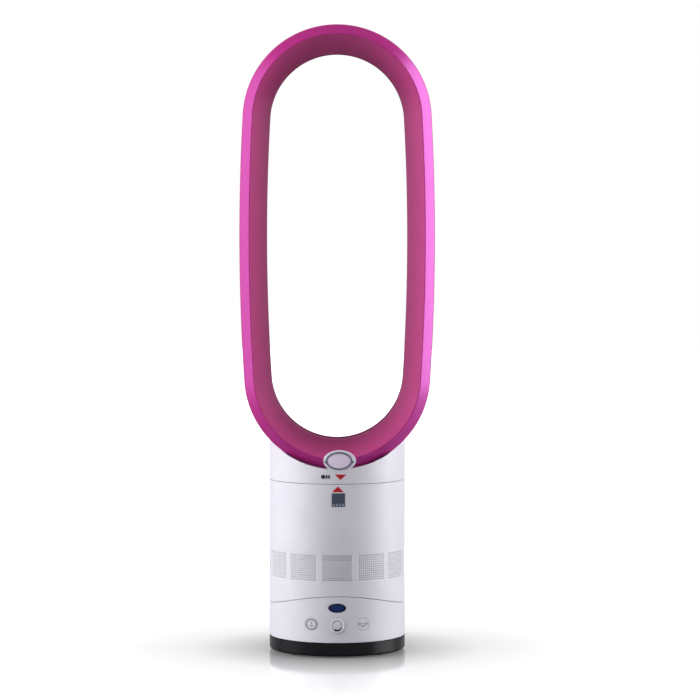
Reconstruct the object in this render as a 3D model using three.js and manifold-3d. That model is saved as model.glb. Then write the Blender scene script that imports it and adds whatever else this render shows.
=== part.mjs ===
// Bladeless tower fan: an oval air loop on a tilting, oscillating column.
// Millimetres, +Z up, front towards -Y, origin on the floor under the column's axis.
import * as THREE from 'three';
import { mergeVertices } from 'three/addons/utils/BufferGeometryUtils.js';
import Module from 'manifold-3d';

const wasm = await Module();
wasm.setup();

// Column
const bodyRadius = 95;
const shellWall = 2.5;
const fit = 0.3; // gap between two pieces that seat on each other
const seamGap = 0.6; // shadow line between two shells
const baseTop = 20.7;
const panFloor = 2.5;
const panEdge = 3;
const footRadius = 8;
const footHeight = 1.7;
const footInset = 17; // from the base's edge to a foot's centre
const collarSeam = 240;

// Tilt seam: a cylinder about the X axis
const tiltRadius = 260;
const seamSide = 67.2; // height of the seam at the sides, its lowest place
const tiltLimit = THREE.MathUtils.degToRad(5);
const cradleWall = 3;

// Oscillation drive
const gearModule = 1.8;
const ringTeeth = 48;
const pinionTeeth = 12;
const gearHeight = 6;
const gearRim = 5;
const backlash = 0.7;
const postRadius = 11.7;
const plateWall = 3;
const glideWidth = 6;
const glideHeight = 3;

// Mains inlet, a two-pin figure-eight socket
const inletWidth = 26;
const inletHeight = 13;
const inletDepth = 20;
const socketDepth = 12;
const socketLobe = 4.6;
const pinSpacing = 8.6;
const pinRadius = 1.2;

// Controls on the front
const windowWidth = 24.3;
const windowHeight = 12.4;
const windowZ = 69.4;
const buttonRadius = 8.6;
const buttonX = 35.5;
const buttonZ = 46.4;
const buttonTravel = 1.2;
const knobRadius = 10;
const knobZ = 45;
const knobProud = 2;
const boardInset = 23; // from the column's front to the control board
const boardWall = 1.6;
const boardMargin = 12;
const switchDepth = 3.5;

// Intake grille
const grilleBottom = 106;
const grilleTop = 142.6;
const grillePanels = 12;
const panelAngle = THREE.MathUtils.degToRad(24.5);
const slotsPerPanel = 5;
const slotWidth = 3;

// Air path inside the column
const shroudFloor = 146;
const inletRadius = 44;
const ductWall = 2;
const impellerHeight = 32;
const bladeCount = 7;
const bladeWall = 1.6;
const bladePitch = 35; // degrees
const hubRadius = 16;
const tipGap = 0.8;
const bucketRadius = 46;
const bucketBottom = 188;
const bucketSide = 22;
const bucketDome = 26;
const shaftRadius = 2.5;
const bearingRadius = 8;
const bearingHeight = 5;
const statorRadius = 28;
const statorHeight = 20;
const mountWall = 4;
const mountHeight = 10;
const vaneCount = 7;
const vaneHeight = 16;
const foamHeight = 12;
const foamInset = 6;
const foamWall = 28;

// Bayonet between column and collar
const bayonetWall = 5.2; // left of the bayonet ring behind its channels
const sealSeat = 10;
const spigotDepth = 11;
const lugReach = 3;
const lugHeight = 3;
const lugAngle = THREE.MathUtils.degToRad(12);
const lugCount = 3;
const twistLimit = THREE.MathUtils.degToRad(18);
const bayonetHeight = 13;

// Loop: an oval of four tangent arcs, seen from the front
const loopTop = 870;
const collarFront = 18.7; // height of the collar under the loop's foot
const loopTopRadius = 130;
const sideBulge = 4.7; // how far the sides swell beyond the top's radius
const loopWaist = 575.5; // height of the widest place
const loopWall = 2.4;
const loopFront = -75;
const loopRear = 75;
const ridgeInset = 14;
const facetStart = 0.8;
const throatInset = 36.5;
const throatY = -5;
const rearBend = 17;
const slotTipY = 44;
const airSlot = 1.8;
const shoulderRadius = 6;
const shoulderRise = 34; // from the loop's foot to where the collar's edge starts to round
const airHoleX = 40;
const airHoleY = 35;

// Badge on a tongue of the collar, in front of the loop's foot
const badgeX = 2.6;
const badgeRise = 12.7; // from the loop's foot to the badge's centre
const tongueWidth = 44.5;
const tongueHeight = 29.4;
const neckWidth = 25;
const badgeRingWidth = 36.8;
const badgeRingHeight = 25.2;
const badgeRingLine = 2.2;
const badgeBarWidth = 13.6;
const badgeBarDrop = 3.2; // from the loop's foot down to the bar's lower edge
const badgeSink = 0.8;
const badgeProud = 0.6;

const largeSteps = 48;
const mediumSteps = 24;
const smallSteps = 12;
const turnSteps = 18; // stations in a half turn of the loop
const sideSteps = 4;
const bendSteps = 3;

// Finishes
const finish = (color, roughness, metalness = 0) =>
  new THREE.MeshStandardMaterial({ color, roughness, metalness });
const whitePlastic = () => finish('#e9e8ee', 0.25);
const greyPlastic = () => finish('#8b8c92', 0.5);
const blackPlastic = () => finish('#131318', 0.25);
const acetal = () => finish('#dcdad0', 0.4);
const rubber = () => finish('#1c1c1e', 0.9);
const steel = () => finish('#a9abb0', 0.35, 1);
const copper = () => finish('#a0592f', 0.45, 1);
const circuit = () => finish('#1f5a38', 0.6);
const magenta = () => finish('#c2388f', 0.3, 0.4);
const foam = () => finish('#4a4a4e', 0.95);

// A closed geometry as a solid that can be joined and cut
function toSolid(geometry) {
  const plain = geometry.index ? geometry.toNonIndexed() : geometry.clone();
  plain.deleteAttribute('normal');
  plain.deleteAttribute('uv');
  const welded = mergeVertices(plain, 1e-4);
  const corners = welded.index.array;
  const triangles = [];
  for (let i = 0; i < corners.length; i += 3) {
    const [a, b, c] = corners.slice(i, i + 3);
    if (a !== b && b !== c && c !== a) triangles.push(a, b, c);
  }
  const vertProperties = Float32Array.from(welded.attributes.position.array);
  const triVerts = Uint32Array.from(triangles);
  return new wasm.Manifold(new wasm.Mesh({ numProp: 3, vertProperties, triVerts }));
}

function toGeometry(solid) {
  const { vertProperties, triVerts } = solid.getMesh();
  const geometry = new THREE.BufferGeometry();
  geometry.setAttribute('position', new THREE.Float32BufferAttribute(vertProperties, 3));
  geometry.setIndex(Array.from(triVerts));
  geometry.computeVertexNormals();
  return geometry;
}

function piece(name, solid, material) {
  const mesh = new THREE.Mesh(toGeometry(solid), material);
  mesh.name = name;
  return mesh;
}

// An outline of [radius, height] points, turned about Z
function turned(outline, steps = largeSteps) {
  const points = outline.map(([r, z]) => new THREE.Vector2(r, z));
  if (THREE.ShapeUtils.area(points) < 0) points.reverse();
  const onAxis = (p) => p.x < 1e-9;
  if (points.some(onAxis)) {
    while (!(onAxis(points[0]) && onAxis(points[points.length - 1]))) points.push(points.shift());
  } else {
    points.push(points[0].clone());
  }
  return toSolid(new THREE.LatheGeometry(points, steps).rotateX(Math.PI / 2));
}

function tube(inner, outer, bottom, top, steps = largeSteps) {
  return turned([[inner, bottom], [outer, bottom], [outer, top], [inner, top]], steps);
}

function rod(radius, bottom, top, steps = smallSteps) {
  return turned([[0, bottom], [radius, bottom], [radius, top], [0, top]], steps);
}

function block(x0, x1, y0, y1, z0, z1) {
  const box = new THREE.BoxGeometry(x1 - x0, y1 - y0, z1 - z0);
  return toSolid(box.translate((x0 + x1) / 2, (y0 + y1) / 2, (z0 + z1) / 2));
}

// A shape in the XY plane, raised from bottom to top
function raised(shape, bottom, top, curveSegments = 12) {
  const depth = top - bottom;
  const solid = new THREE.ExtrudeGeometry(shape, { depth, bevelEnabled: false, curveSegments });
  return toSolid(solid.translate(0, 0, bottom));
}

// A shape seen from the front, as (x, z), running from y = front to y = back
function frontPrism(shape, front, back, curveSegments = 12) {
  const depth = back - front;
  const solid = new THREE.ExtrudeGeometry(shape, { depth, bevelEnabled: false, curveSegments });
  return toSolid(solid.rotateX(Math.PI / 2).translate(0, back, 0));
}

function disc(x, y, radiusX, radiusY = radiusX) {
  const shape = new THREE.Shape();
  shape.absellipse(x, y, radiusX, radiusY, 0, 2 * Math.PI, false, 0);
  return shape;
}

const join = (solids) => solids.reduce((whole, next) => whole.add(next));
const degrees = (angle) => THREE.MathUtils.radToDeg(angle);
const spun = (solid, angle) => solid.rotate([0, 0, degrees(angle)]);
const moved = (solid, x, y, z) => solid.translate([x, y, z]);

// Everything nearer to the tilt axis than the given radius
function tiltCylinder(radius) {
  const reach = 2 * bodyRadius + 4 * shellWall;
  const bar = new THREE.CylinderGeometry(radius, radius, reach, 2 * largeSteps);
  return toSolid(bar.rotateZ(Math.PI / 2).translate(0, 0, tiltAxis));
}

// Levels that follow from the driving dimensions
const shellInner = bodyRadius - shellWall;
const tiltAxis = seamSide + tiltRadius;
const footCircle = bodyRadius - footInset;
const boardFront = boardInset - bodyRadius;
const spigotRadius = shellInner - fit - bayonetWall - lugReach;
const ductRadius = spigotRadius - sealSeat;
const panBottom = footHeight + fit;
const panFloorTop = panBottom + panFloor;
const plateBottom = baseTop + fit;
const plateTop = plateBottom + plateWall;
const seamLower = tiltRadius + seamGap / 2;
const seamUpper = tiltRadius - seamGap / 2;
const ringPitch = (gearModule * ringTeeth) / 2;
const pinionPitch = (gearModule * pinionTeeth) / 2;
const gearCentre = ringPitch - pinionPitch;
const ringOuter = ringPitch + gearModule + gearRim;
const glideInner = ringOuter + 2 * fit;
const collarBottom = collarSeam + seamGap / 2;
const towerTop = collarSeam - seamGap / 2;
const cradleFoot = tiltAxis - seamLower - cradleWall; // lowest place under the cradle

// ---------------------------------------------------------------- base
function feet() {
  const nodes = [];
  for (let i = 0; i < 4; i++) {
    const angle = Math.PI / 4 + (i * Math.PI) / 2;
    const x = footCircle * Math.cos(angle);
    const y = footCircle * Math.sin(angle);
    nodes.push(piece(`foot_${i + 1}`, moved(rod(footRadius, 0, footHeight), x, y, 0), rubber()));
  }
  return nodes;
}

const inletBottom = panFloorTop + fit;
const inletTop = inletBottom + inletHeight;
const inletBack = bodyRadius + 0.4 * fit;
const socketZ = (inletBottom + inletTop) / 2;
const gearScrewCircle = ringPitch + gearModule + gearRim / 2 + 0.4;
const gearScrewRadius = 1.3;

function gearScrewSpots(make) {
  const turn = (i) => Math.PI / 2 + (i * 2 * Math.PI) / 3;
  return [0, 1, 2].map((i) => spun(moved(make(), gearScrewCircle, 0, 0), turn(i)));
}

function basePan() {
  const outer = bodyRadius - panEdge;
  const edge = [];
  for (let i = 0; i <= 2; i++) {
    const angle = -Math.PI / 2 + (i * Math.PI) / 4;
    const r = outer + panEdge * Math.cos(angle);
    edge.push([r, panBottom + panEdge + panEdge * Math.sin(angle)]);
  }
  const ribTop = baseTop - glideHeight - fit;
  const glideOuter = glideInner + glideWidth;
  let pan = turned([
    [0, panBottom],
    ...edge,
    [bodyRadius, baseTop],
    [shellInner, baseTop],
    [shellInner, panFloorTop],
    [glideOuter, panFloorTop],
    [glideOuter, ribTop],
    [glideInner, ribTop],
    [glideInner, panFloorTop],
    [0, panFloorTop],
  ]);
  const halfWidth = inletWidth / 2 + fit;
  pan = pan.subtract(block(-halfWidth, halfWidth, shellInner - shellWall, bodyRadius + shellWall,
    inletBottom, inletTop + fit));
  const holes = gearScrewSpots(() => rod(gearScrewRadius + fit, panBottom - 1, panFloorTop + 1, 12));
  return piece('base_pan', pan.subtract(join(holes)), blackPlastic());
}

// One tooth flank set round a circle: positive reach for the pinion, the ring's is its mirror
function gearOutline(teeth, root, tip, pitchHalf, slope) {
  const points = [];
  const pitch = (gearModule * teeth) / 2;
  for (let i = 0; i < teeth; i++) {
    const centre = (2 * Math.PI * i) / teeth;
    const corner = (radius, side) => {
      const half = (pitchHalf - slope * (radius - pitch)) / radius;
      const angle = centre + side * half;
      points.push(new THREE.Vector2(radius * Math.cos(angle), radius * Math.sin(angle)));
    };
    corner(root, -1);
    corner(tip, -1);
    corner(tip, 1);
    corner(root, 1);
  }
  return points;
}

const addendum = 0.75 * gearModule;
const dedendum = 1.05 * gearModule;
const toothHalf = (Math.PI * gearModule) / 4 - backlash / 4;
const flankSlope = Math.tan(THREE.MathUtils.degToRad(22));
const gearBottom = panFloorTop + fit;

function ringGear() {
  const shape = disc(0, 0, ringOuter);
  const inside = gearOutline(ringTeeth, ringPitch + dedendum, ringPitch - addendum, toothHalf, -flankSlope);
  shape.holes.push(new THREE.Path(inside));
  const gear = raised(shape, gearBottom, gearBottom + gearHeight, mediumSteps / 2);
  const holes = gearScrewSpots(() => rod(gearScrewRadius + fit, 0, baseTop, 12));
  return piece('ring_gear', gear.subtract(join(holes)), acetal());
}

function gearScrews() {
  const head = gearBottom + gearHeight + fit;
  const make = () => rod(gearScrewRadius, panBottom + fit, head + 1, 12).add(rod(2.4, head, head + 1.6, 12));
  return gearScrewSpots(make).map((screw, i) => piece(`gear_screw_${i + 1}`, screw, steel()));
}

function glideRing() {
  const top = plateBottom - fit;
  const bottom = top - glideHeight + fit;
  const ring = tube(glideInner, glideInner + glideWidth, bottom, top, mediumSteps);
  return piece('glide_ring', ring, acetal());
}

const postBore = postRadius - 5;
const clipWall = 1.5;
const grooveDepth = 1.5;

function pivotPost() {
  const foot = panFloorTop + fit;
  const grooveTop = plateTop + clipWall + 2 * fit;
  const groove = postRadius - grooveDepth;
  const outline = [
    [postBore, foot],
    [postRadius + 7, foot],
    [postRadius + 7, foot + 2.5],
    [postRadius, foot + 2.5],
    [postRadius, plateTop],
    [groove, plateTop],
    [groove, grooveTop],
    [postRadius, grooveTop],
    [postRadius, grooveTop + 2],
    [postBore, grooveTop + 2],
  ];
  return piece('pivot_post', turned(outline, mediumSteps), steel());
}

function pivotClip() {
  const inner = postRadius - grooveDepth + fit;
  const clip = tube(inner, postRadius + 5, plateTop + fit, plateTop + fit + clipWall, mediumSteps);
  return piece('pivot_clip', clip, steel());
}

function inletShape(lobe) {
  const half = pinSpacing / 2;
  const shape = new THREE.Shape();
  shape.absarc(half, socketZ, lobe, -Math.PI / 2, Math.PI / 2, false);
  shape.absarc(-half, socketZ, lobe, Math.PI / 2, (3 * Math.PI) / 2, false);
  return shape;
}

function powerInlet() {
  const front = inletBack - inletDepth;
  const half = inletWidth / 2;
  const body = block(-half, half, front, inletBack, inletBottom + fit, inletTop);
  const recess = frontPrism(inletShape(socketLobe), inletBack - socketDepth, inletBack + 1, 6);
  const pins = inletPins(pinRadius + fit, front - 1, inletBack);
  return piece('power_inlet', body.subtract(recess).subtract(join(pins)), blackPlastic());
}

function inletPins(radius, front, back) {
  return [-1, 1].map((side) => frontPrism(disc((side * pinSpacing) / 2, socketZ, radius), front, back, 5));
}

function contactPins() {
  const pins = inletPins(pinRadius, inletBack - inletDepth - 4, inletBack - 2);
  return pins.map((pin, i) => piece(`inlet_pin_${i + 1}`, pin, steel()));
}

// ---------------------------------------------------------------- turntable
const legCircle = shellInner - 14;
const legAngle = THREE.MathUtils.degToRad(38);
const cradleLegX = legCircle * Math.cos(legAngle);
const cradleLegY = legCircle * Math.sin(legAngle);
const standoff = 4;
const powerBoardX = 40;
const powerBoardDepth = 48;
const powerBoardBack = shellInner - 16.5;
const powerBoardFront = powerBoardBack - powerBoardDepth;
const transformerSize = [28, 26, 20];
const capacitorRadius = 8;
const capacitorHeight = 22;

function pinionPlace(solid) {
  return moved(solid, gearCentre, 0, 0);
}

function turntablePlate() {
  const hubInner = postRadius + fit;
  let plate = turned([
    [hubInner, panFloorTop + 2.5 + 2 * fit + 1],
    [hubInner + 3, panFloorTop + 2.5 + 2 * fit + 1],
    [hubInner + 3, plateBottom],
    [shellInner - fit, plateBottom],
    [shellInner - fit, plateTop],
    [hubInner, plateTop],
  ], mediumSteps);
  plate = plate.subtract(pinionPlace(rod(pinionShaft + 2 * fit, plateBottom - 1, plateTop + 1)));
  for (const x of [-powerBoardX + 5, powerBoardX - 5]) {
    for (const y of [powerBoardFront + 5, powerBoardBack - 5]) {
      plate = plate.add(moved(rod(3, plateTop - 1, plateTop + standoff, 12), x, y, 0));
    }
  }
  return piece('turntable_plate', plate, greyPlastic());
}

const pinionShaft = 2.4;
const motorRadius = 14;
const motorHeight = 19;

function drivePinion() {
  const root = pinionPitch - dedendum;
  const tip = pinionPitch + addendum;
  const outline = gearOutline(pinionTeeth, root, tip, toothHalf, flankSlope);
  const bottom = gearBottom + fit;
  const gear = spun(raised(new THREE.Shape(outline), bottom, bottom + gearHeight), Math.PI / pinionTeeth);
  const shaft = rod(pinionShaft, bottom, plateTop + 3);
  return piece('drive_pinion', pinionPlace(gear.add(shaft)), acetal());
}

function oscillationMotor() {
  const bottom = plateTop + fit;
  const ears = raised(disc(0, 0, 4.5, motorRadius + 4.5), bottom, bottom + 1.2, 8);
  const can = rod(motorRadius, bottom, bottom + motorHeight, mediumSteps / 2);
  const bore = rod(pinionShaft + fit, bottom - 1, plateTop + 3 + fit);
  return piece('oscillation_motor', pinionPlace(can.add(ears).subtract(bore)), steel());
}

function controlShell() {
  let shell = tube(shellInner, bodyRadius, baseTop + seamGap, tiltAxis - tiltRadius + 3 * bodyRadius / 10);
  shell = shell.subtract(tiltCylinder(seamLower));
  const front = -bodyRadius - 1;
  const cuts = [
    frontPrism(disc(0, windowZ, windowWidth / 2 + fit, windowHeight / 2 + fit), front, -shellInner / 2),
    frontPrism(disc(0, knobZ, knobRadius + fit), front, -shellInner / 2),
    frontPrism(disc(-buttonX, buttonZ, buttonRadius + fit), front, -shellInner / 2),
    frontPrism(disc(buttonX, buttonZ, buttonRadius + fit), front, -shellInner / 2),
  ];
  return piece('control_shell', shell.subtract(join(cuts)), whitePlastic());
}

// Curved plate between two radii about the tilt axis, kept inside the shell
function tiltPlate(inner, outer) {
  const column = rod(shellInner - fit, plateTop, tiltAxis - tiltRadius + bodyRadius / 2, mediumSteps);
  return column.intersect(tiltCylinder(outer)).subtract(tiltCylinder(inner));
}

const cableHole = 9;
const studX = 42;
const studRadius = 3;
const studHead = 7;

function tiltCradle() {
  let cradle = tiltPlate(seamLower, seamLower + cradleWall);
  for (const x of [-cradleLegX, cradleLegX]) {
    for (const y of [-cradleLegY, cradleLegY]) {
      const reach = seamLower + cradleWall / 2;
      const top = tiltAxis - Math.sqrt(reach ** 2 - cradleLegY ** 2);
      cradle = cradle.add(moved(rod(4, plateTop + fit, top, 16), x, y, 0));
    }
  }
  const low = cradleFoot - 1;
  const high = tiltAxis - seamLower + 2;
  const holes = [rod(cableHole, low, high)];
  for (const x of [-studX, studX]) {
    holes.push(moved(rod(studRadius + fit, low, high, 16), x, 0, 0));
  }
  return piece('tilt_cradle', cradle.subtract(join(holes)), greyPlastic());
}

function guideStuds() {
  const shoeTop = tiltAxis - seamUpper + cradleWall;
  const headBottom = shoeTop + 2 * fit;
  const nutTop = cradleFoot - fit;
  const outline = [
    [0, nutTop - 3],
    [5, nutTop - 3],
    [5, nutTop],
    [studRadius, nutTop],
    [studRadius, headBottom],
    [studHead, headBottom],
    [studHead, headBottom + 2],
    [0, headBottom + 2],
  ];
  const stud = turned(outline, 16);
  return [-studX, studX].map((x, i) => piece(`guide_stud_${i + 1}`, moved(stud, x, 0, 0), steel()));
}

function controlBoard() {
  const back = boardFront + boardWall;
  const top = windowZ - 1;
  const half = Math.sqrt(shellInner ** 2 - boardFront ** 2) - boardMargin;
  const board = block(-half, half, boardFront, back, plateTop + fit, top);
  return piece('control_board', board, circuit());
}

function switchAt(name, x) {
  const back = boardFront - fit;
  const body = block(x - 3.5, x + 3.5, back - switchDepth, back, buttonZ - 3.5, buttonZ + 3.5);
  return piece(name, body, blackPlastic());
}

const encoderFront = boardFront - fit - 6;
const knobShaft = 3;

function speedEncoder() {
  const body = block(-6.5, 6.5, encoderFront, boardFront - fit, knobZ - 6.5, knobZ + 6.5);
  const bore = frontPrism(disc(0, knobZ, knobShaft + fit), encoderFront - 1, encoderFront + 3);
  return piece('speed_encoder', body.subtract(bore), greyPlastic());
}

function irReceiver() {
  const top = windowZ - 2;
  const body = block(-4, 4, boardFront - fit - 5, boardFront - fit, top - 7, top);
  return piece('ir_receiver', body, blackPlastic());
}

function ovalWindow() {
  const oval = disc(0, windowZ, windowWidth / 2, windowHeight / 2);
  const lens = frontPrism(oval, -bodyRadius - 1, -shellInner + 3);
  const skin = rod(bodyRadius + fit / 2, windowZ - windowHeight, windowZ + windowHeight, largeSteps);
  return piece('oval_window', lens.intersect(skin), finish('#04245f', 0.1));
}

function pushButton(name, x) {
  const switchFront = boardFront - fit - switchDepth;
  const stemEnd = switchFront - fit - buttonTravel;
  const flange = -Math.sqrt(shellInner ** 2 - (buttonX + buttonRadius + 1) ** 2) + fit;
  const cap = frontPrism(disc(x, buttonZ, buttonRadius), -bodyRadius - 1, flange + 1.4);
  const rim = frontPrism(disc(x, buttonZ, buttonRadius + 1), flange, flange + 1.4);
  const stem = frontPrism(disc(x, buttonZ, 2), flange, stemEnd, 6);
  const column = rod(bodyRadius, buttonZ - 2 * buttonRadius, buttonZ + 2 * buttonRadius, largeSteps);
  return piece(name, join([cap, rim, stem]).intersect(column), whitePlastic());
}

function speedKnob() {
  const outline = [[0, 0], [knobShaft, 0]];
  const shaftEnd = encoderFront + 3 - fit; // y where the shaft ends
  const back = -shellInner + 4;
  const face = -bodyRadius - knobProud;
  outline.push([knobShaft, shaftEnd - back], [knobRadius, shaftEnd - back]);
  const domeBase = shaftEnd + bodyRadius + 0.4;
  outline.push([knobRadius, domeBase]);
  for (let i = 1; i <= 4; i++) {
    const angle = (i * Math.PI) / 8;
    const rise = (shaftEnd - face - domeBase) * Math.sin(angle);
    outline.push([knobRadius * (0.8 + 0.2 * Math.cos(angle)), domeBase + rise]);
  }
  outline.push([0, shaftEnd - face]);
  const turnedUp = turned(outline, 20);
  const dimple = toSolid(new THREE.SphereGeometry(9, 16, 12).translate(2.8, -2.8, shaftEnd - face + 7.4));
  const knob = turnedUp.subtract(dimple).rotate([90, 0, 0]);
  return piece('speed_knob', moved(knob, 0, shaftEnd, knobZ), whitePlastic());
}

function powerBoard() {
  const bottom = plateTop + standoff + fit;
  const boardTop = bottom + boardWall;
  const board = block(-powerBoardX, powerBoardX, powerBoardFront, powerBoardBack, bottom, boardTop);
  const top = boardTop + fit;
  const middle = (powerBoardFront + powerBoardBack) / 2;
  const [width, depth, height] = transformerSize;
  const left = -powerBoardX + 8;
  const transformer = block(left, left + width, middle - depth / 2, middle + depth / 2, top, top + height);
  const capacitor = moved(rod(capacitorRadius, top, top + capacitorHeight), powerBoardX / 2, middle, 0);
  return [
    piece('power_board', board, circuit()),
    piece('transformer', transformer, copper()),
    piece('capacitor', capacitor, blackPlastic()),
  ];
}

// ---------------------------------------------------------------- tower
function towerShell() {
  let shell = tube(shellInner, bodyRadius, tiltAxis - tiltRadius - 5, towerTop);
  shell = shell.intersect(tiltCylinder(seamUpper));
  const pitch = panelAngle / slotsPerPanel;
  const slots = [];
  for (let panel = 0; panel < grillePanels; panel++) {
    for (let i = 0; i < slotsPerPanel; i++) {
      const along = (i - (slotsPerPanel - 1) / 2) * pitch;
      const angle = (2 * Math.PI * panel) / grillePanels + along;
      const half = slotWidth / 2;
      const slot = block(-half, half, -bodyRadius - 1, -shellInner + 1, grilleBottom, grilleTop);
      slots.push(spun(slot, angle));
    }
  }
  return piece('tower_shell', shell.subtract(join(slots)), whitePlastic());
}

function tiltShoe() {
  let shoe = tiltPlate(seamUpper - cradleWall, seamUpper);
  const travel = seamUpper * Math.sin(tiltLimit) + studRadius + 2 * fit;
  const low = tiltAxis - seamUpper - 1;
  const high = low + cradleWall + 8;
  const side = studRadius + fit;
  const cuts = [rod(cableHole + travel / 2, low, high)];
  for (const x of [-studX, studX]) {
    cuts.push(block(x - side, x + side, -travel, travel, low, high));
  }
  return piece('tilt_shoe', shoe.subtract(join(cuts)), greyPlastic());
}

const shroudTop = shroudFloor + 2.5 + impellerHeight;
const shroudExit = ductRadius - ductWall;

// Inner radius of the shroud at a height
function shroudInside(z) {
  const share = THREE.MathUtils.clamp((z - shroudFloor) / (shroudTop - shroudFloor), 0, 1);
  return inletRadius + (shroudExit - inletRadius) * share ** 1.4;
}

function impellerShroud() {
  const steps = 4;
  const inside = [];
  for (let i = 0; i <= steps; i++) {
    const z = shroudFloor + ((shroudTop - shroudFloor) * i) / steps;
    inside.push([shroudInside(z), z]);
  }
  const outside = inside.slice(1).reverse().map(([r, z]) => [r + ductWall, z]);
  const flangeTop = shroudFloor + ductWall;
  const flange = [[shellInner - fit, flangeTop], [shellInner - fit, shroudFloor]];
  const neck = [shroudInside(flangeTop) + ductWall + 1, flangeTop];
  const shroud = turned([...inside, ...outside, neck, ...flange], mediumSteps);
  return piece('impeller_shroud', shroud, greyPlastic());
}

function impellerHub(z) {
  const share = (z - shroudFloor) / impellerHeight;
  return hubRadius + (bucketRadius - hubRadius) * THREE.MathUtils.clamp(share, 0, 1) ** 1.6;
}

function impeller() {
  const bottom = shroudFloor + 4;
  const top = shroudTop - 2;
  const steps = 4;
  const side = [];
  const envelope = [[0, bottom + 1]];
  for (let i = 0; i <= steps; i++) {
    const z = bottom + ((top - bottom) * i) / steps;
    side.push([impellerHub(z), z]);
    const level = THREE.MathUtils.clamp(z, bottom + 1, top - 1);
    envelope.push([shroudInside(level) - tipGap, level]);
  }
  envelope.push([0, top - 1]);
  const bore = shaftRadius + fit;
  const hub = turned([[bore, bottom], ...side, [bore, top]], mediumSteps);
  const blades = [];
  for (let i = 0; i < bladeCount; i++) {
    blades.push(spun(blade((bottom + top) / 2), (2 * Math.PI * i) / bladeCount));
  }
  const room = turned(envelope, mediumSteps).subtract(rod(hubRadius - 2, bottom, top));
  return piece('impeller', hub.add(join(blades).intersect(room)), greyPlastic());
}

// A flat blade set at an angle to the shaft, longer than its final shape all round
function blade(middle) {
  const plate = block(hubRadius - 4, ductRadius, -bladeWall / 2, bladeWall / 2, -ductRadius, ductRadius);
  return moved(plate.rotate([bladePitch, 0, 0]), 0, 0, middle);
}

const capWall = 3;
const lowerBearing = bucketBottom + capWall + fit;
const statorBottom = lowerBearing + bearingHeight + fit;
const upperBearing = statorBottom + statorHeight + fit;
const bucketShoulder = bucketBottom + bucketSide;

function rotorShaft() {
  const shaft = rod(shaftRadius, shroudFloor + 3, upperBearing + bearingHeight, 16);
  return piece('rotor_shaft', shaft, steel());
}

function rotorMagnet() {
  const bottom = statorBottom + 2;
  const magnet = tube(shaftRadius + fit, 11, bottom, bottom + statorHeight - 4, smallSteps);
  return piece('rotor_magnet', magnet, greyPlastic());
}

function motorBucket() {
  const outline = [[bucketRadius, bucketBottom]];
  const inner = [[bucketRadius - ductWall, bucketBottom]];
  for (let i = 0; i <= 4; i++) {
    const angle = (i * Math.PI) / 8;
    const z = bucketShoulder + bucketDome * Math.sin(angle);
    outline.push([i === 4 ? 0 : bucketRadius * Math.cos(angle), z]);
    inner.push([i === 4 ? 0 : (bucketRadius - ductWall) * Math.cos(angle), z - ductWall * (i / 4)]);
  }
  return piece('motor_bucket', turned([...outline, ...inner.reverse()], mediumSteps), greyPlastic());
}

// Cup under the motor: a floor that closes the bucket and a wall round the stator
function motorCap() {
  const floorTop = bucketBottom + capWall;
  const wallInner = statorRadius + fit;
  const outline = [
    [shaftRadius + 1, bucketBottom],
    [bucketRadius - ductWall - fit, bucketBottom],
    [bucketRadius - ductWall - fit, floorTop],
    [wallInner + capWall, floorTop],
    [wallInner + capWall, statorBottom + statorHeight / 2],
    [wallInner, statorBottom + statorHeight / 2],
    [wallInner, floorTop],
    [shaftRadius + 1, floorTop],
  ];
  return piece('motor_cap', turned(outline, mediumSteps), greyPlastic());
}

function bearing(name, bottom) {
  const ring = tube(shaftRadius + fit, bearingRadius, bottom, bottom + bearingHeight, smallSteps);
  return piece(name, ring, steel());
}

function motorStator() {
  const stator = tube(11 + 2 * fit, statorRadius, statorBottom, statorBottom + statorHeight, mediumSteps);
  return piece('motor_stator', stator, copper());
}

function motorBoard() {
  const bottom = upperBearing + bearingHeight + fit;
  const top = bottom + boardWall;
  return piece('motor_board', tube(shaftRadius + 1, statorRadius - 7, bottom, top, smallSteps), circuit());
}

function motorMount() {
  const inner = bucketRadius + fit;
  const bottom = bucketBottom + (vaneHeight - mountHeight);
  const ring = tube(inner, inner + mountWall, bottom, bottom + mountHeight, mediumSteps);
  return piece('motor_mount', ring, rubber());
}

function diffuser() {
  const bottom = bucketBottom + ductWall;
  const top = bottom + vaneHeight;
  const inner = bucketRadius + mountWall + 2 * fit;
  const outer = ductRadius - ductWall - fit;
  const vanes = [];
  for (let i = 0; i < vaneCount; i++) {
    const vane = block(inner + 0.5, outer - 0.5, -0.8, 0.8, bottom, top);
    vanes.push(spun(vane, (2 * Math.PI * i) / vaneCount));
  }
  const innerRing = tube(inner, inner + 1.6, bottom, top, mediumSteps);
  const outerRing = tube(outer - 1.6, outer, bottom, top, mediumSteps);
  return piece('diffuser', join([innerRing, outerRing, ...vanes]), greyPlastic());
}

function foamRing() {
  const top = shroudFloor - fit;
  const outer = shellInner - foamInset;
  return piece('foam_ring', tube(outer - foamWall, outer, top - foamHeight, top, mediumSteps), foam());
}

const spigotBottom = collarBottom - spigotDepth;
const sealHeight = 2.5;
const ductTop = spigotBottom - sealHeight - 2 * fit;
const bayonetBore = spigotRadius + fit;

function airDuct() {
  const outer = bayonetBore - fit;
  const duct = turned([
    [ductRadius - ductWall, shroudTop + fit],
    [ductRadius, shroudTop + fit],
    [ductRadius, ductTop - ductWall],
    [outer, ductTop - ductWall],
    [outer, ductTop],
    [ductRadius - ductWall, ductTop],
  ], mediumSteps);
  return piece('air_duct', duct, greyPlastic());
}

function ductSeal() {
  const bottom = ductTop + fit;
  const ring = tube(spigotRadius - 5, spigotRadius, bottom, bottom + sealHeight, mediumSteps);
  return piece('duct_seal', ring, rubber());
}

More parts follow.
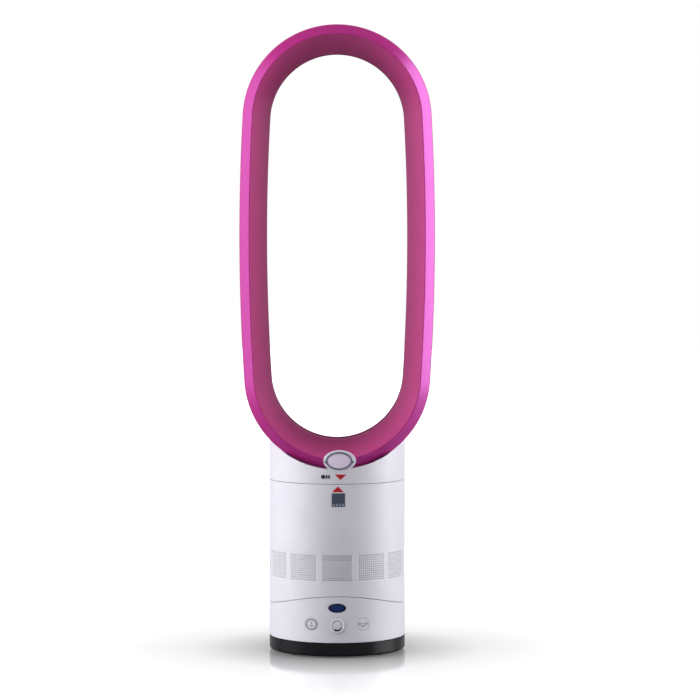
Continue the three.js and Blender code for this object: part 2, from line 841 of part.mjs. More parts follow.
// A sector of a ring, from one angle to another
function sector(inner, outer, from, to, bottom, top) {
  const shape = new THREE.Shape();
  shape.absarc(0, 0, outer, from, to, false);
  shape.absarc(0, 0, inner, to, from, true);
  return raised(shape, bottom, top, 4);
}

const lugBottom = spigotBottom + 1.5;

function bayonetRing() {
  const top = towerTop - fit;
  let ring = tube(bayonetBore, shellInner - fit, top - bayonetHeight, top);
  const clear = fit / bodyRadius;
  const outer = spigotRadius + lugReach + fit;
  for (let i = 0; i < lugCount; i++) {
    const start = (2 * Math.PI * i) / lugCount - lugAngle / 2 - 2 * clear;
    const end = start + lugAngle + twistLimit + 4 * clear;
    const inner = spigotRadius - 1;
    ring = ring.subtract(sector(inner, outer, start, end, lugBottom - fit, lugBottom + lugHeight + fit));
    ring = ring.subtract(sector(inner, outer, end - lugAngle - 4 * clear, end, lugBottom, top + 1));
  }
  return piece('bayonet_ring', ring, greyPlastic());
}

// ---------------------------------------------------------------- loop
// The oval's arcs follow from its top, foot, top radius, bulge and the height of its widest place
const loopFoot = collarSeam + collarFront;
const loopTopCentre = loopTop - loopTopRadius;
const loopHalfWidth = loopTopRadius + sideBulge;
const sideRise = loopTopCentre - loopWaist;
const sideRadius = (sideRise ** 2 + loopHalfWidth ** 2 - loopTopRadius ** 2)
  / (2 * (loopHalfWidth - loopTopRadius));
const sideCentre = sideRadius - loopHalfWidth; // distance of a side arc's centre beyond the axis
const footReach = sideRadius - (loopWaist - loopFoot);
const loopFootCentre = loopWaist - (sideCentre ** 2 - footReach ** 2) / (2 * footReach);
const loopFootRadius = loopFootCentre - loopFoot;
const shoulderStart = loopFoot + shoulderRise;
const badgeZ = loopFoot + badgeRise;

// Stations round the oval: the arc's centre, its radius and the outward direction
function loopStations() {
  const lowAngle = Math.atan2(loopWaist - loopFootCentre, sideCentre);
  const highAngle = Math.atan2(loopTopCentre - loopWaist, sideCentre);
  const stations = [];
  const arc = (x, z, radius, from, to, steps) => {
    for (let i = 0; i < steps; i++) {
      const angle = from + ((to - from) * i) / steps;
      stations.push({ x, z, radius, ax: Math.cos(angle), az: Math.sin(angle) });
    }
  };
  arc(0, loopTopCentre, loopTopRadius, highAngle, Math.PI - highAngle, turnSteps);
  arc(sideCentre, loopWaist, sideRadius, Math.PI - highAngle, Math.PI + lowAngle, sideSteps);
  arc(0, loopFootCentre, loopFootRadius, Math.PI + lowAngle, 2 * Math.PI - lowAngle, turnSteps);
  arc(-sideCentre, loopWaist, sideRadius, -lowAngle, highAngle, sideSteps);
  return stations;
}

const stations = loopStations();

// Grid of station by section point; the section is closed, as [inset, y] points
function loopSweep(section) {
  const area = THREE.ShapeUtils.area(section.map(([inset, y]) => new THREE.Vector2(inset, y)));
  const points = area > 0 ? section : [...section].reverse();
  const positions = [];
  for (const s of stations) {
    for (const [inset, y] of points) {
      const reach = s.radius - inset;
      positions.push(s.x + reach * s.ax, y, s.z + reach * s.az);
    }
  }
  const count = points.length;
  const index = [];
  stations.forEach((_, i) => {
    const here = i * count;
    const next = ((i + 1) % stations.length) * count;
    for (let k = 0; k < count; k++) {
      const m = (k + 1) % count;
      index.push(here + k, next + k, next + m, here + k, next + m, here + m);
    }
  });
  const geometry = new THREE.BufferGeometry();
  geometry.setAttribute('position', new THREE.Float32BufferAttribute(positions, 3));
  geometry.setIndex(index);
  return toSolid(geometry);
}

// Filled oval between the given [inset, y] rows, for cuts
function ovalFill(rows) {
  const positions = [];
  for (const [inset, y] of rows) {
    for (const s of stations) {
      const reach = s.radius - inset;
      positions.push(s.x + reach * s.ax, y, s.z + reach * s.az);
    }
  }
  const count = stations.length;
  const first = positions.length / 3;
  positions.push(0, rows[0][1], loopWaist, 0, rows[rows.length - 1][1], loopWaist);
  const index = [];
  for (let k = 0; k < count; k++) {
    const m = (k + 1) % count;
    for (let row = 0; row + 1 < rows.length; row++) {
      const a = row * count;
      index.push(a + k, a + count + m, a + m, a + k, a + count + k, a + count + m);
    }
    const last = (rows.length - 1) * count;
    index.push(first, k, m, first + 1, last + m, last + k);
  }
  const geometry = new THREE.BufferGeometry();
  geometry.setAttribute('position', new THREE.Float32BufferAttribute(positions, 3));
  geometry.setIndex(index);
  return toSolid(geometry);
}

function quarter(centreN, centreY, reachN, reachY, from, to, steps) {
  const points = [];
  for (let i = 0; i <= steps; i++) {
    const angle = from + ((to - from) * i) / steps;
    points.push([centreN + reachN * Math.cos(angle), centreY + reachY * Math.sin(angle)]);
  }
  return points;
}

const bendStart = loopRear - 27;
const facetFoot = loopFront + ridgeInset - facetStart;
const tipInset = throatInset - 0.7;

function outerCasing() {
  const ridge = ridgeInset - fit / 2;
  const rise = (facetFoot - loopFront) / (ridgeInset - facetStart);
  const facetAt = (inset) => facetFoot - rise * (inset - facetStart);
  const backset = loopWall * Math.SQRT2;
  const outer = [
    [ridge, facetAt(ridge)],
    [facetStart, facetFoot],
    [0, facetFoot + 3],
    ...quarter(rearBend, bendStart, rearBend, loopRear - bendStart, Math.PI, Math.PI / 2, bendSteps),
    ...quarter(rearBend, slotTipY, tipInset - rearBend, loopRear - slotTipY,
      Math.PI / 2, 0, bendSteps).slice(1),
  ];
  const thin = tipInset - rearBend - 2;
  const inner = [
    ...quarter(rearBend, slotTipY, thin, loopRear - loopWall - slotTipY, 0, Math.PI / 2, bendSteps),
    ...quarter(rearBend, bendStart, rearBend - loopWall, loopRear - loopWall - bendStart,
      Math.PI / 2, Math.PI, bendSteps).slice(1),
    [loopWall, facetAt(loopWall) + backset],
    [ridge, facetAt(ridge) + backset],
  ];
  let casing = loopSweep([...outer, ...inner]);
  casing = casing.subtract(airHole());
  for (const side of [-1, 1]) casing = casing.subtract(footScrew(side, fit, 0));
  return piece('loop_outer_casing', casing, magenta());
}

function innerCasing() {
  const start = [ridgeInset + fit / 2, loopFront];
  const throat = [throatInset, throatY];
  const heel = [tipInset - 2 - airSlot, slotTipY + 6];
  const bend = [ridgeInset + 0.74 * (throatInset - ridgeInset), loopFront + 0.66 * (throatY - loopFront)];
  const curve = new THREE.QuadraticBezierCurve(
    new THREE.Vector2(...start), new THREE.Vector2(...bend), new THREE.Vector2(...throat));
  const front = curve.getPoints(4).map((p) => [p.x, p.y]);
  const middle = [throatInset - 0.6, throatY + 20];
  const skin = [...front, middle, heel];
  const back = skin.slice(1).reverse().map(([inset, y]) => [inset - loopWall, y]);
  const root = [start[0], loopFront + 3 * loopWall];
  return piece('loop_inner_casing', loopSweep([...skin, ...back, root]), magenta());
}

const saddleGap = 0.4;
const saddleEdge = 64; // half depth of the saddle's straight part
const lipRise = 1.4; // the saddle's rise towards the column's front and back
const deckWall = 3;

const saddleFar = bodyRadius + 5;

function saddleRows(inset) {
  return [
    [inset + lipRise, -saddleFar],
    [inset, -saddleEdge],
    [inset, saddleEdge],
    [inset + lipRise, saddleFar],
  ];
}

function airHole() {
  return block(-airHoleX, airHoleX, -airHoleY, airHoleY, loopFoot - 12, loopFoot + 14);
}

// A screw along the oval's normal at its foot, to one side
function footScrew(side, grow, sink) {
  const headTop = loopFoot - saddleGap - deckWall - fit;
  const outline = [
    [0, headTop - 2 - grow],
    [4 + grow, headTop - 2 - grow],
    [4 + grow, headTop + grow * sink],
    [1.8 + grow, headTop + grow * sink],
    [1.8 + grow, loopFoot + loopWall + 5 + grow],
    [0, loopFoot + loopWall + 5 + grow],
  ];
  const screw = moved(turned(outline, 16), 0, 0, -loopFootCentre);
  return moved(screw.rotate([0, side * -30, 0]), 0, 0, loopFootCentre);
}

// The collar's front wall rises as a tongue that carries the badge
function badgeTongue() {
  const low = collarBottom + shellWall;
  const high = badgeZ + tongueHeight;
  const front = -bodyRadius - 1;
  const back = -shellInner / 2;
  const oval = frontPrism(disc(badgeX, badgeZ, tongueWidth / 2, tongueHeight / 2), front, back);
  const neck = block(badgeX - neckWidth / 2, badgeX + neckWidth / 2, front, back, low, badgeZ - 3);
  return oval.add(neck).intersect(tube(shellInner, bodyRadius, low, high));
}

function collar() {
  const shoulder = [];
  for (let i = 0; i <= 4; i++) {
    const angle = (i * Math.PI) / 8;
    const r = bodyRadius - shoulderRadius + shoulderRadius * Math.cos(angle);
    shoulder.push([r, shoulderStart + shoulderRadius * Math.sin(angle)]);
  }
  const top = shoulderStart + shoulderRadius;
  let shell = turned([[0, collarBottom], [bodyRadius, collarBottom], ...shoulder, [0, top]]);
  shell = shell.subtract(ovalFill(saddleRows(-saddleGap)));
  const cavity = shoulder.map(([r, z]) => [r - shellWall, z - shellWall]);
  const flangeTop = collarBottom + shellWall;
  let hollow = turned([[0, flangeTop], [shellInner, flangeTop], ...cavity, [0, top - shellWall]]);
  hollow = hollow.subtract(ovalFill(saddleRows(-saddleGap - deckWall)));
  shell = shell.subtract(hollow);
  shell = shell.subtract(rod(spigotRadius - shellWall, collarBottom - 1, flangeTop + 1, largeSteps));
  shell = shell.add(tube(spigotRadius - shellWall, spigotRadius, spigotBottom, flangeTop));
  for (let i = 0; i < lugCount; i++) {
    const middle = (2 * Math.PI * i) / lugCount;
    const lug = sector(spigotRadius - 1, spigotRadius + lugReach, middle - lugAngle / 2,
      middle + lugAngle / 2, lugBottom, lugBottom + lugHeight);
    shell = shell.add(lug);
  }
  shell = shell.subtract(airHole());
  for (const side of [-1, 1]) shell = shell.subtract(footScrew(side, fit, 1));
  const pocket = badgeRingPrism(fit, false);
  const skin = tube(bodyRadius - badgeSink, bodyRadius + 3, collarBottom, badgeZ + tongueHeight);
  shell = shell.add(badgeTongue()).subtract(pocket.intersect(skin));
  return piece('collar', shell, whitePlastic());
}

function loopScrews() {
  return [-1, 1].map((side, i) => piece(`loop_screw_${i + 1}`, footScrew(side, 0, 0), steel()));
}

// The badge's dark ring with the bar under it, as a front view solid
function badgeRingPrism(grow, hollow) {
  const front = -bodyRadius - 2;
  const back = -shellInner / 2;
  const outer = disc(badgeX, badgeZ, badgeRingWidth / 2 + grow, badgeRingHeight / 2 + grow);
  const half = badgeBarWidth / 2 + grow;
  const barTop = badgeZ - badgeRingHeight / 2 + badgeRingLine / 2;
  const bar = block(badgeX - half, badgeX + half, front, back, loopFoot - badgeBarDrop - grow, barTop);
  const ring = frontPrism(outer, front, back).add(bar);
  if (!hollow) return ring;
  const inside = disc(badgeX, badgeZ, badgeRingWidth / 2 - badgeRingLine, badgeRingHeight / 2 - badgeRingLine);
  return ring.subtract(frontPrism(inside, front - 1, back + 1));
}

function badge() {
  const low = loopFoot - 2 * badgeBarDrop;
  const high = badgeZ + tongueHeight;
  const floor = bodyRadius - badgeSink + fit;
  const ring = badgeRingPrism(0, true).intersect(tube(floor, bodyRadius + badgeProud, low, high));
  const width = badgeRingWidth / 2 - badgeRingLine - fit;
  const height = badgeRingHeight / 2 - badgeRingLine - fit;
  const face = frontPrism(disc(badgeX, badgeZ, width, height), -bodyRadius - 2, -shellInner / 2);
  const plate = face.intersect(tube(floor, bodyRadius + badgeProud / 2, low, high));
  return [
    piece('badge_plate', plate, finish('#cfc6de', 0.3)),
    piece('badge_ring', ring, finish('#4a4a55', 0.4)),
  ];
}

// ---------------------------------------------------------------- assembly
const fan = new THREE.Group();
fan.name = 'bladeless_fan';

const base = new THREE.Group();
base.add(basePan(), ...feet(), ringGear(), ...gearScrews(), glideRing(), pivotPost(), pivotClip());
base.add(powerInlet(), ...contactPins());

const turntable = new THREE.Group();
turntable.add(turntablePlate(), drivePinion(), oscillationMotor(), controlShell(), tiltCradle());
turntable.add(...guideStuds(), controlBoard(), switchAt('power_switch', -buttonX));
turntable.add(switchAt('oscillation_switch', buttonX), speedEncoder(), irReceiver(), ovalWindow());
turntable.add(pushButton('power_button', -buttonX), pushButton('oscillation_button', buttonX));
turntable.add(speedKnob(), ...powerBoard());

const tower = new THREE.Group();
tower.add(towerShell(), tiltShoe(), impellerShroud(), impeller(), rotorShaft(), rotorMagnet());
tower.add(motorBucket(), motorCap(), bearing('lower_bearing', lowerBearing));
tower.add(bearing('upper_bearing', upperBearing), motorStator(), motorBoard());
tower.add(motorMount(), diffuser(), foamRing(), airDuct(), ductSeal(), bayonetRing());

const loop = new THREE.Group();
loop.add(collar(), outerCasing(), innerCasing(), ...loopScrews(), ...badge());

fan.add(base, turntable, tower, loop);
export default fan;
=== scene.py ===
from math import acos, atan2, cos, degrees, dist, hypot, pi, radians, sin, sqrt
import bmesh
import bpy
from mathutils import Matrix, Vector


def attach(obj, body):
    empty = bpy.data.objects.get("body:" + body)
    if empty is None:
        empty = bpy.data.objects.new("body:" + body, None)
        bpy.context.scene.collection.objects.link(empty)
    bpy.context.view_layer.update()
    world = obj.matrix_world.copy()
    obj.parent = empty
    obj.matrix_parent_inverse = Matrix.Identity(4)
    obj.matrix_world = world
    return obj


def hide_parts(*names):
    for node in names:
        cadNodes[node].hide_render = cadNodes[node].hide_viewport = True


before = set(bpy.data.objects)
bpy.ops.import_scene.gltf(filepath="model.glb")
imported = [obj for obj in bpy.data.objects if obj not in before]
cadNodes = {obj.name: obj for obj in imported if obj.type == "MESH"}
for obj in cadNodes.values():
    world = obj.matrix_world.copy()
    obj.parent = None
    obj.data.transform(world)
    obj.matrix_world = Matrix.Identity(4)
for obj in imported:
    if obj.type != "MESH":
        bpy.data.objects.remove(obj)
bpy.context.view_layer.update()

mm = 0.001
scene = bpy.context.scene
scene.view_settings.view_transform = "Standard"
print("frame loaded:", len(cadNodes), "nodes")

# what the pieces share, in millimetres: the white column and the tilt axis
column = {"radius": 95.0, "wall": 2.5, "edge": 0.4}
tilt = {"axis": 327.2, "radius": 260.0}
outerR = column["radius"]
innerR = outerR - column["wall"]

# camera: the photograph's angle on a long lens
viewpoint = {"lens": 144.31, "place": (0.0, -3.925, 0.607), "down": 2.73, "turn": -0.262}
cameraData = bpy.data.cameras.new("photoCamera")
cameraData.lens = viewpoint["lens"]
cameraData.sensor_width = 36.0
camera = bpy.data.objects.new("photoCamera", cameraData)
camera.location = viewpoint["place"]
camera.rotation_euler = (radians(90 - viewpoint["down"]), 0, radians(viewpoint["turn"]))
scene.collection.objects.link(camera)
scene.camera = camera


# procedural finishes
def linear(color):
    return (*(c / 255 / 12.92 if c <= 10 else ((c / 255 + 0.055) / 1.055) ** 2.4 for c in color), 1)


# a node with its settings, each input either fixed or taken from another node's socket
def addNode(tree, kind, inputs=None, **settings):
    node = tree.nodes.new("ShaderNode" + kind)
    for name, value in settings.items():
        setattr(node, name, value)
    setInputs(tree, node, inputs or {})
    return node


def setInputs(tree, node, inputs):
    for key, value in inputs.items():
        if isinstance(value, bpy.types.NodeSocket):
            tree.links.new(value, node.inputs[key])
        else:
            node.inputs[key].default_value = value


def newFinish(name):
    material = bpy.data.materials.new(name)
    material.use_nodes = True
    tree = material.node_tree
    shader = next(n for n in tree.nodes if n.type == "BSDF_PRINCIPLED")
    return material, tree, shader, addNode(tree, "TexCoord").outputs["Object"]


def addNoise(tree, place, size, detail=2.0, stretch=None):
    if stretch:
        place = addNode(tree, "Mapping", {"Scale": stretch, "Vector": place}).outputs["Vector"]
    noise = addNode(tree, "TexNoise", {"Scale": 1 / (size * mm), "Detail": detail, "Vector": place})
    return noise.outputs["Fac"]


def spread(tree, value, low, high, start=0.3, end=0.7):
    return addNode(tree, "MapRange", {"From Min": start, "From Max": end, "To Min": low, "To Max": high,
                                      "Value": value}).outputs["Result"]


# a blend of two colors or of two numbers
def blendOf(tree, factor, first, second, kind="RGBA"):
    start, result = (6, 2) if kind == "RGBA" else (2, 0)
    mix = addNode(tree, "Mix", {0: factor, start: first, start + 1: second}, data_type=kind)
    return mix.outputs[result]


def mathOf(tree, operation, first, second):
    return addNode(tree, "Math", {0: first, 1: second}, operation=operation).outputs["Value"]


def addBump(tree, height, depth):
    return addNode(tree, "Bump", {"Distance": depth * mm, "Height": height}).outputs["Normal"]


def mouldedFinish(name, look):
    material, tree, shader, place = newFinish(name)
    blotch = addNoise(tree, place, look["blotch"], 3.0, look["stretch"])
    grain = addNoise(tree, place, look["grain"])
    rough, roughSpread = look["rough"], look["roughSpread"]
    setInputs(tree, shader, {
        "Base Color": blendOf(tree, spread(tree, blotch, 0, 1), linear(look["color"]), linear(look["shade"])),
        "Roughness": spread(tree, blotch, rough - roughSpread, rough + roughSpread),
        "Normal": addBump(tree, grain, look["grainDepth"]), "Metallic": look["metal"],
        "Specular IOR Level": look["specular"], "Coat Weight": look["coat"],
        "Coat Roughness": look["coatRough"], "Sheen Weight": look["sheen"]})
    return material


# what a moulded or pressed surface has unless its own look says otherwise, sizes in millimetres
plainLook = {"roughSpread": 0.05, "grain": 0.2, "grainDepth": 0.004, "metal": 0.0, "specular": 0.5,
             "coat": 0.0, "coatRough": 0.1, "sheen": 0.0, "stretch": None}
# color and shade are the two ends of the blotches
looks = {
    "whiteGloss": {"color": (230, 228, 237), "shade": (225, 223, 233), "blotch": 38, "rough": 0.38,
        "roughSpread": 0.03, "grain": 0.9, "specular": 0.4, "coat": 0.06, "coatRough": 0.16},
    "blackGloss": {"color": (13, 12, 20), "shade": (8, 8, 14), "blotch": 26, "rough": 0.3, "grain": 0.7,
        "grainDepth": 0.003, "specular": 0.2, "coat": 0.03, "coatRough": 0.2},
    "blackPlastic": {"color": (30, 30, 33), "shade": (22, 22, 25), "blotch": 9, "rough": 0.5,
        "roughSpread": 0.08, "grain": 0.25, "grainDepth": 0.02},
    "greyPlastic": {"color": (138, 139, 146), "shade": (124, 125, 132), "blotch": 14, "rough": 0.5,
        "roughSpread": 0.07, "grain": 0.3, "grainDepth": 0.015},
    "acetalPlastic": {"color": (222, 219, 208), "shade": (210, 206, 193), "blotch": 10, "rough": 0.4,
        "grain": 0.35, "grainDepth": 0.01},
    "rubberFinish": {"color": (34, 34, 36), "shade": (24, 24, 25), "blotch": 4, "rough": 0.82,
        "roughSpread": 0.08, "grainDepth": 0.03, "specular": 0.3},
    "foamFinish": {"color": (78, 78, 82), "shade": (34, 34, 37), "blotch": 0.9, "rough": 0.95,
        "roughSpread": 0.03, "grain": 0.8, "grainDepth": 0.5, "sheen": 0.3, "specular": 0.1},
    "steelFinish": {"color": (176, 178, 184), "shade": (150, 152, 158), "blotch": 3, "rough": 0.34,
        "roughSpread": 0.1, "grain": 0.12, "metal": 1.0, "stretch": (1, 1, 8)},
    "windingFinish": {"color": (178, 96, 52), "shade": (120, 60, 30), "blotch": 1.1, "rough": 0.42,
        "roughSpread": 0.1, "grain": 0.6, "grainDepth": 0.15, "metal": 0.8, "stretch": (0.15, 0.15, 1)},
    "magnetFinish": {"color": (74, 74, 80), "shade": (56, 56, 61), "blotch": 5, "rough": 0.45,
        "roughSpread": 0.08, "grain": 0.3, "grainDepth": 0.01, "metal": 0.6},
    "boardFinish": {"color": (36, 100, 62), "shade": (22, 74, 44), "blotch": 2.4, "rough": 0.42,
        "roughSpread": 0.08, "grain": 0.8, "grainDepth": 0.03, "coat": 0.3, "coatRough": 0.2},
    # the grey of printed signs, also used for the painted shade of the gaps round the buttons
    "markGreyAndShade": {"color": (164, 162, 174), "shade": (154, 152, 165), "blotch": 2, "rough": 0.4},
    "markSlate": {"color": (70, 76, 98), "shade": (62, 68, 90), "blotch": 3, "rough": 0.38},
    "markRed": {"color": (200, 14, 24), "shade": (182, 8, 18), "blotch": 3, "rough": 0.36},
    # the dark ink of printed marks, also used for the painted shade of the knob's crescent
    "markInkAndShade": {"color": (16, 16, 24), "shade": (30, 30, 40), "blotch": 2, "rough": 0.4},
    "markLight": {"color": (160, 170, 192), "shade": (142, 152, 176), "blotch": 2, "rough": 0.4},
    "badgeGrey": {"color": (124, 124, 146), "shade": (114, 114, 136), "blotch": 5, "rough": 0.34,
        "grain": 0.3, "coat": 0.2},
    "badgeFace": {"color": (240, 230, 252), "shade": (246, 224, 248), "blotch": 12, "rough": 0.26,
        "roughSpread": 0.04, "grain": 0.3, "coat": 0.3},
    "windowRim": {"color": (2, 14, 66), "shade": (2, 10, 50), "blotch": 6, "rough": 0.12,
        "roughSpread": 0.03, "grain": 0.8, "grainDepth": 0.003, "specular": 0.2, "coat": 0.08,
        "coatRough": 0.04},
    "windowGlow": {"color": (12, 54, 116), "shade": (3, 30, 88), "blotch": 4.5, "rough": 0.14,
        "roughSpread": 0.03, "grain": 0.8, "grainDepth": 0.003, "specular": 0.2, "coat": 0.08,
        "coatRough": 0.04},
}
finishes = {name: mouldedFinish(name, {**plainLook, **look}) for name, look in looks.items()}


# satin metallic lacquer: fine flakes under a clear coat
def lacquerFinish(name, look):
    material, tree, shader, place = newFinish(name)
    flakes = addNode(tree, "TexVoronoi", {"Scale": 1 / (look["flake"] * mm), "Vector": place})
    sparkle = addNode(tree, "SeparateColor", {"Color": flakes.outputs["Color"]})
    fleck = blendOf(tree, sparkle.outputs["Red"], linear(look["color"]), linear(look["shade"]))
    cloud = spread(tree, addNoise(tree, place, look["cloud"]), 0, 0.5)
    rough = look["rough"]
    setInputs(tree, shader, {
        "Base Color": blendOf(tree, cloud, fleck, linear(look["deep"])),
        "Roughness": spread(tree, sparkle.outputs["Green"], rough - 0.04, rough + 0.05, 0, 1),
        "Normal": addBump(tree, sparkle.outputs["Blue"], look["flakeDepth"]),
        "Coat Normal": addBump(tree, addNoise(tree, place, look["peel"], 1.0), look["peelDepth"]),
        "Metallic": look["metal"], "IOR": look["ior"], "Specular IOR Level": look["specular"],
        "Specular Tint": (*look["pearl"], 1), "Coat Weight": look["coat"],
        "Coat Roughness": look["coatRough"]})
    return material


finishes["magentaLacquer"] = lacquerFinish("magentaLacquer", {
    "color": (192, 34, 128), "shade": (180, 28, 118), "deep": (178, 28, 118), "flake": 0.28, "cloud": 30,
    "rough": 0.32, "flakeDepth": 0.006, "peel": 2.2, "peelDepth": 0.004, "metal": 0.05, "ior": 1.75,
    "specular": 1.0, "pearl": (0.74, 0.28, 1.0), "coat": 0.03, "coatRough": 0.16})
finishes["magentaSatin"] = lacquerFinish("magentaSatin", {
    "color": (204, 76, 145), "shade": (192, 68, 135), "deep": (190, 68, 133), "flake": 0.32, "cloud": 34,
    "rough": 0.48, "flakeDepth": 0.006, "peel": 2.4, "peelDepth": 0.004, "metal": 0.1, "ior": 1.45,
    "specular": 0.25, "pearl": (0.9, 0.6, 1.0), "coat": 0.0, "coatRough": 0.2})
print("finishes made")


# points and faces of one piece, in millimetres
class Sheet:
    def __init__(self):
        self.points = []
        self.faces = []

    def add(self, points):
        start = len(self.points)
        self.points.extend(tuple(p) for p in points)
        return list(range(start, len(self.points)))

    def band(self, first, second):
        count = len(first)
        for k in range(count):
            m = (k + 1) % count
            self.faces.append((first[k], first[m], second[m], second[k]))

    def bands(self, rows, around=False):
        if around:
            self.band(rows[-1], rows[0])
        for first, second in zip(rows, rows[1:]):
            self.band(first, second)

    def grid(self, rows, gaps):
        count = len(rows[0])
        for i in range(len(rows) - 1):
            for k in range(count):
                if (i, k) not in gaps:
                    m = (k + 1) % count
                    self.faces.append((rows[i][k], rows[i][m], rows[i + 1][m], rows[i + 1][k]))

    def fan(self, ring, point):
        middle = self.add([point])[0]
        for k in range(len(ring)):
            self.faces.append((ring[k], ring[(k + 1) % len(ring)], middle))


def makePiece(name, sheet, finish, body, sharp, node=None):
    mesh = bpy.data.meshes.new(name)
    mesh.from_pydata([Vector(p) * mm for p in sheet.points], [], sheet.faces)
    work = bmesh.new()
    work.from_mesh(mesh)
    bmesh.ops.remove_doubles(work, verts=work.verts, dist=1e-7)
    loose = [v for v in work.verts if not v.link_faces]
    bmesh.ops.delete(work, geom=loose, context="VERTS")
    bmesh.ops.recalc_face_normals(work, faces=work.faces)
    work.to_mesh(mesh)
    work.free()
    mesh.polygons.foreach_set("use_smooth", [True] * len(mesh.polygons))
    mesh.set_sharp_from_angle(angle=radians(sharp))
    mesh.materials.append(finishes[finish])
    piece = bpy.data.objects.new(name, mesh)
    scene.collection.objects.link(piece)
    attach(piece, body)
    if node:
        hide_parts(node)


def fullTurn(count):
    return [2 * pi * k / count for k in range(count)]


def ellipseArc(cx, cy, rx, ry, start, end, steps):
    turn = [start + (end - start) * i / steps for i in range(steps + 1)]
    return [(cx + rx * cos(a), cy + ry * sin(a)) for a in turn]


def mixPoint(a, b, t):
    return tuple(p + (q - p) * t for p, q in zip(a, b))


# points on the curve that leaves a towards b and arrives at c
def curvePoints(a, b, c, shares):
    return [mixPoint(mixPoint(a, b, t), mixPoint(b, c, t), t) for t in shares]


def evenShares(steps):
    return [i / steps for i in range(steps + 1)]


# replaces the marked corners of an outline by small rounds: {index: reach}
def softened(points, rounds):
    result = []
    count = len(points)
    for i, corner in enumerate(points):
        reach = rounds.get(i)
        if not reach:
            result.append(corner)
            continue
        before, after = points[i - 1], points[(i + 1) % count]
        start = mixPoint(corner, before, reach / dist(corner, before))
        end = mixPoint(corner, after, reach / dist(corner, after))
        result += curvePoints(start, corner, end, evenShares(4))
    return result


# a line of (radius, height) points turned about a vertical axis at (x, y)
def turnedSheet(outline, steps, x=0.0, y=0.0):
    sheet = Sheet()
    rows = []
    for r, z in outline:
        ring = [(x + r * cos(a), y + r * sin(a), z) for a in fullTurn(steps)]
        rows.append(sheet.add(ring if r > 0 else ring[:1]))
    for first, second in zip(rows, rows[1:]):
        if len(first) == len(second):
            sheet.band(first, second)
            continue
        ring, tip = (second, first[0]) if len(first) == 1 else (first, second[0])
        for k in range(steps):
            sheet.faces.append((ring[k], ring[(k + 1) % steps], tip))
    return sheet


# distance from a hole's centre to its edge: power 2 is an ellipse, a high one a rounded rectangle
def edgeReach(angle, halfX, halfZ, power=2.0):
    across = abs(cos(angle)) / halfX
    up = abs(sin(angle)) / halfZ
    return (across ** power + up ** power) ** (-1 / power)


def onColumn(x, z, depth=0.0, facing=-1):
    r = outerR - depth
    return (x, facing * sqrt(max(r * r - x * x, 0.0)), z)


def tiltEdge(radius, y):
    return tilt["axis"] - sqrt(radius ** 2 - y ** 2)


# a shell of the column: both skins are grids of rows, and a hole takes the place of a block of cells
def shellSheet(skins, holes, openFoot=False):
    sheet = Sheet()
    grids = [[sheet.add(row) for row in rows] for rows in skins]
    count = len(skins[0][0])
    gaps = set()
    for hole in holes:
        (r0, r1), (c0, c1) = hole["rows"], hole["columns"]
        gaps |= {(i, k % count) for i in range(r0, r1) for k in range(c0, c1)}
    for grid in grids:
        sheet.grid(grid, gaps)
    for end in (-1,) if openFoot else (0, -1):
        sheet.band(grids[0][end], grids[1][end])
    for hole in holes:
        cutHole(sheet, grids, hole)
    return sheet, grids


def cutHole(sheet, grids, hole):
    (r0, r1), (c0, c1) = hole["rows"], hole["columns"]
    walk = [(r0, k) for k in range(c0, c1)] + [(i, c1) for i in range(r0, r1)]
    walk += [(r1, k) for k in range(c1, c0, -1)] + [(i, c0) for i in range(r1, r0, -1)]
    cx, cz = hole["centre"]
    facing, rim, power = hole.get("facing", -1), hole.get("rim", 0.35), hole.get("power", 2.0)

    def target(p, grow):
        angle = atan2(p[2] - cz, p[0] - cx)
        reach = edgeReach(angle, hole["half"][0] + grow, hole["half"][1] + grow, power)
        return cx + reach * cos(angle), cz + reach * sin(angle)

    wall = column["wall"]
    outerLips = ((rim, 0.0), (rim * 0.3, rim * 0.25), (0.0, rim))   # how far out and how deep
    ends = []
    for grid, skinDepth, lips in ((grids[0], 0.0, outerLips), (grids[1], wall, ((0.0, wall),))):
        rows = [[grid[i][k % len(grid[i])] for i, k in walk]]
        border = [sheet.points[v] for v in rows[0]]
        for share in (0.35, 0.7):
            between = [mixPoint((p[0], p[2]), target(p, rim), share) for p in border]
            rows.append(sheet.add([onColumn(x, z, skinDepth, facing) for x, z in between]))
        for grow, depth in lips:
            rows.append(sheet.add([onColumn(*target(p, grow), depth, facing) for p in border]))
        sheet.bands(rows)
        ends.append(rows[-1])
    sheet.band(*ends)


# the loop: an oval of four tangent arcs, swept with two thin sections
loop = {
    "foot": 258.7, "waist": 575.5, "topCentre": 740.0, "topRadius": 130.0, "bulge": 4.7,
    "front": -75.0, "rear": 75.0, "wall": 2.4, "ridge": 14.0, "ridgeGap": 0.12, "flareBend": (0.74, 0.66),
    "throat": (36.5, -5.0), "throatRun": (0.2, 24.0), "rearBend": 17.0, "bendStart": 48.0,
    "lip": (35.8, 44.0), "airSlot": 1.8, "topSteps": 84, "footSteps": 84, "sideSteps": 30,
}
halfWidth = loop["topRadius"] + loop["bulge"]
sideRise = loop["topCentre"] - loop["waist"]
sideRadius = (sideRise ** 2 + halfWidth ** 2 - loop["topRadius"] ** 2) / (2 * loop["bulge"])
sideCentre = sideRadius - halfWidth
footReach = sideRadius - (loop["waist"] - loop["foot"])
footCentre = loop["waist"] - (sideCentre ** 2 - footReach ** 2) / (2 * footReach)
footRadius = footCentre - loop["foot"]


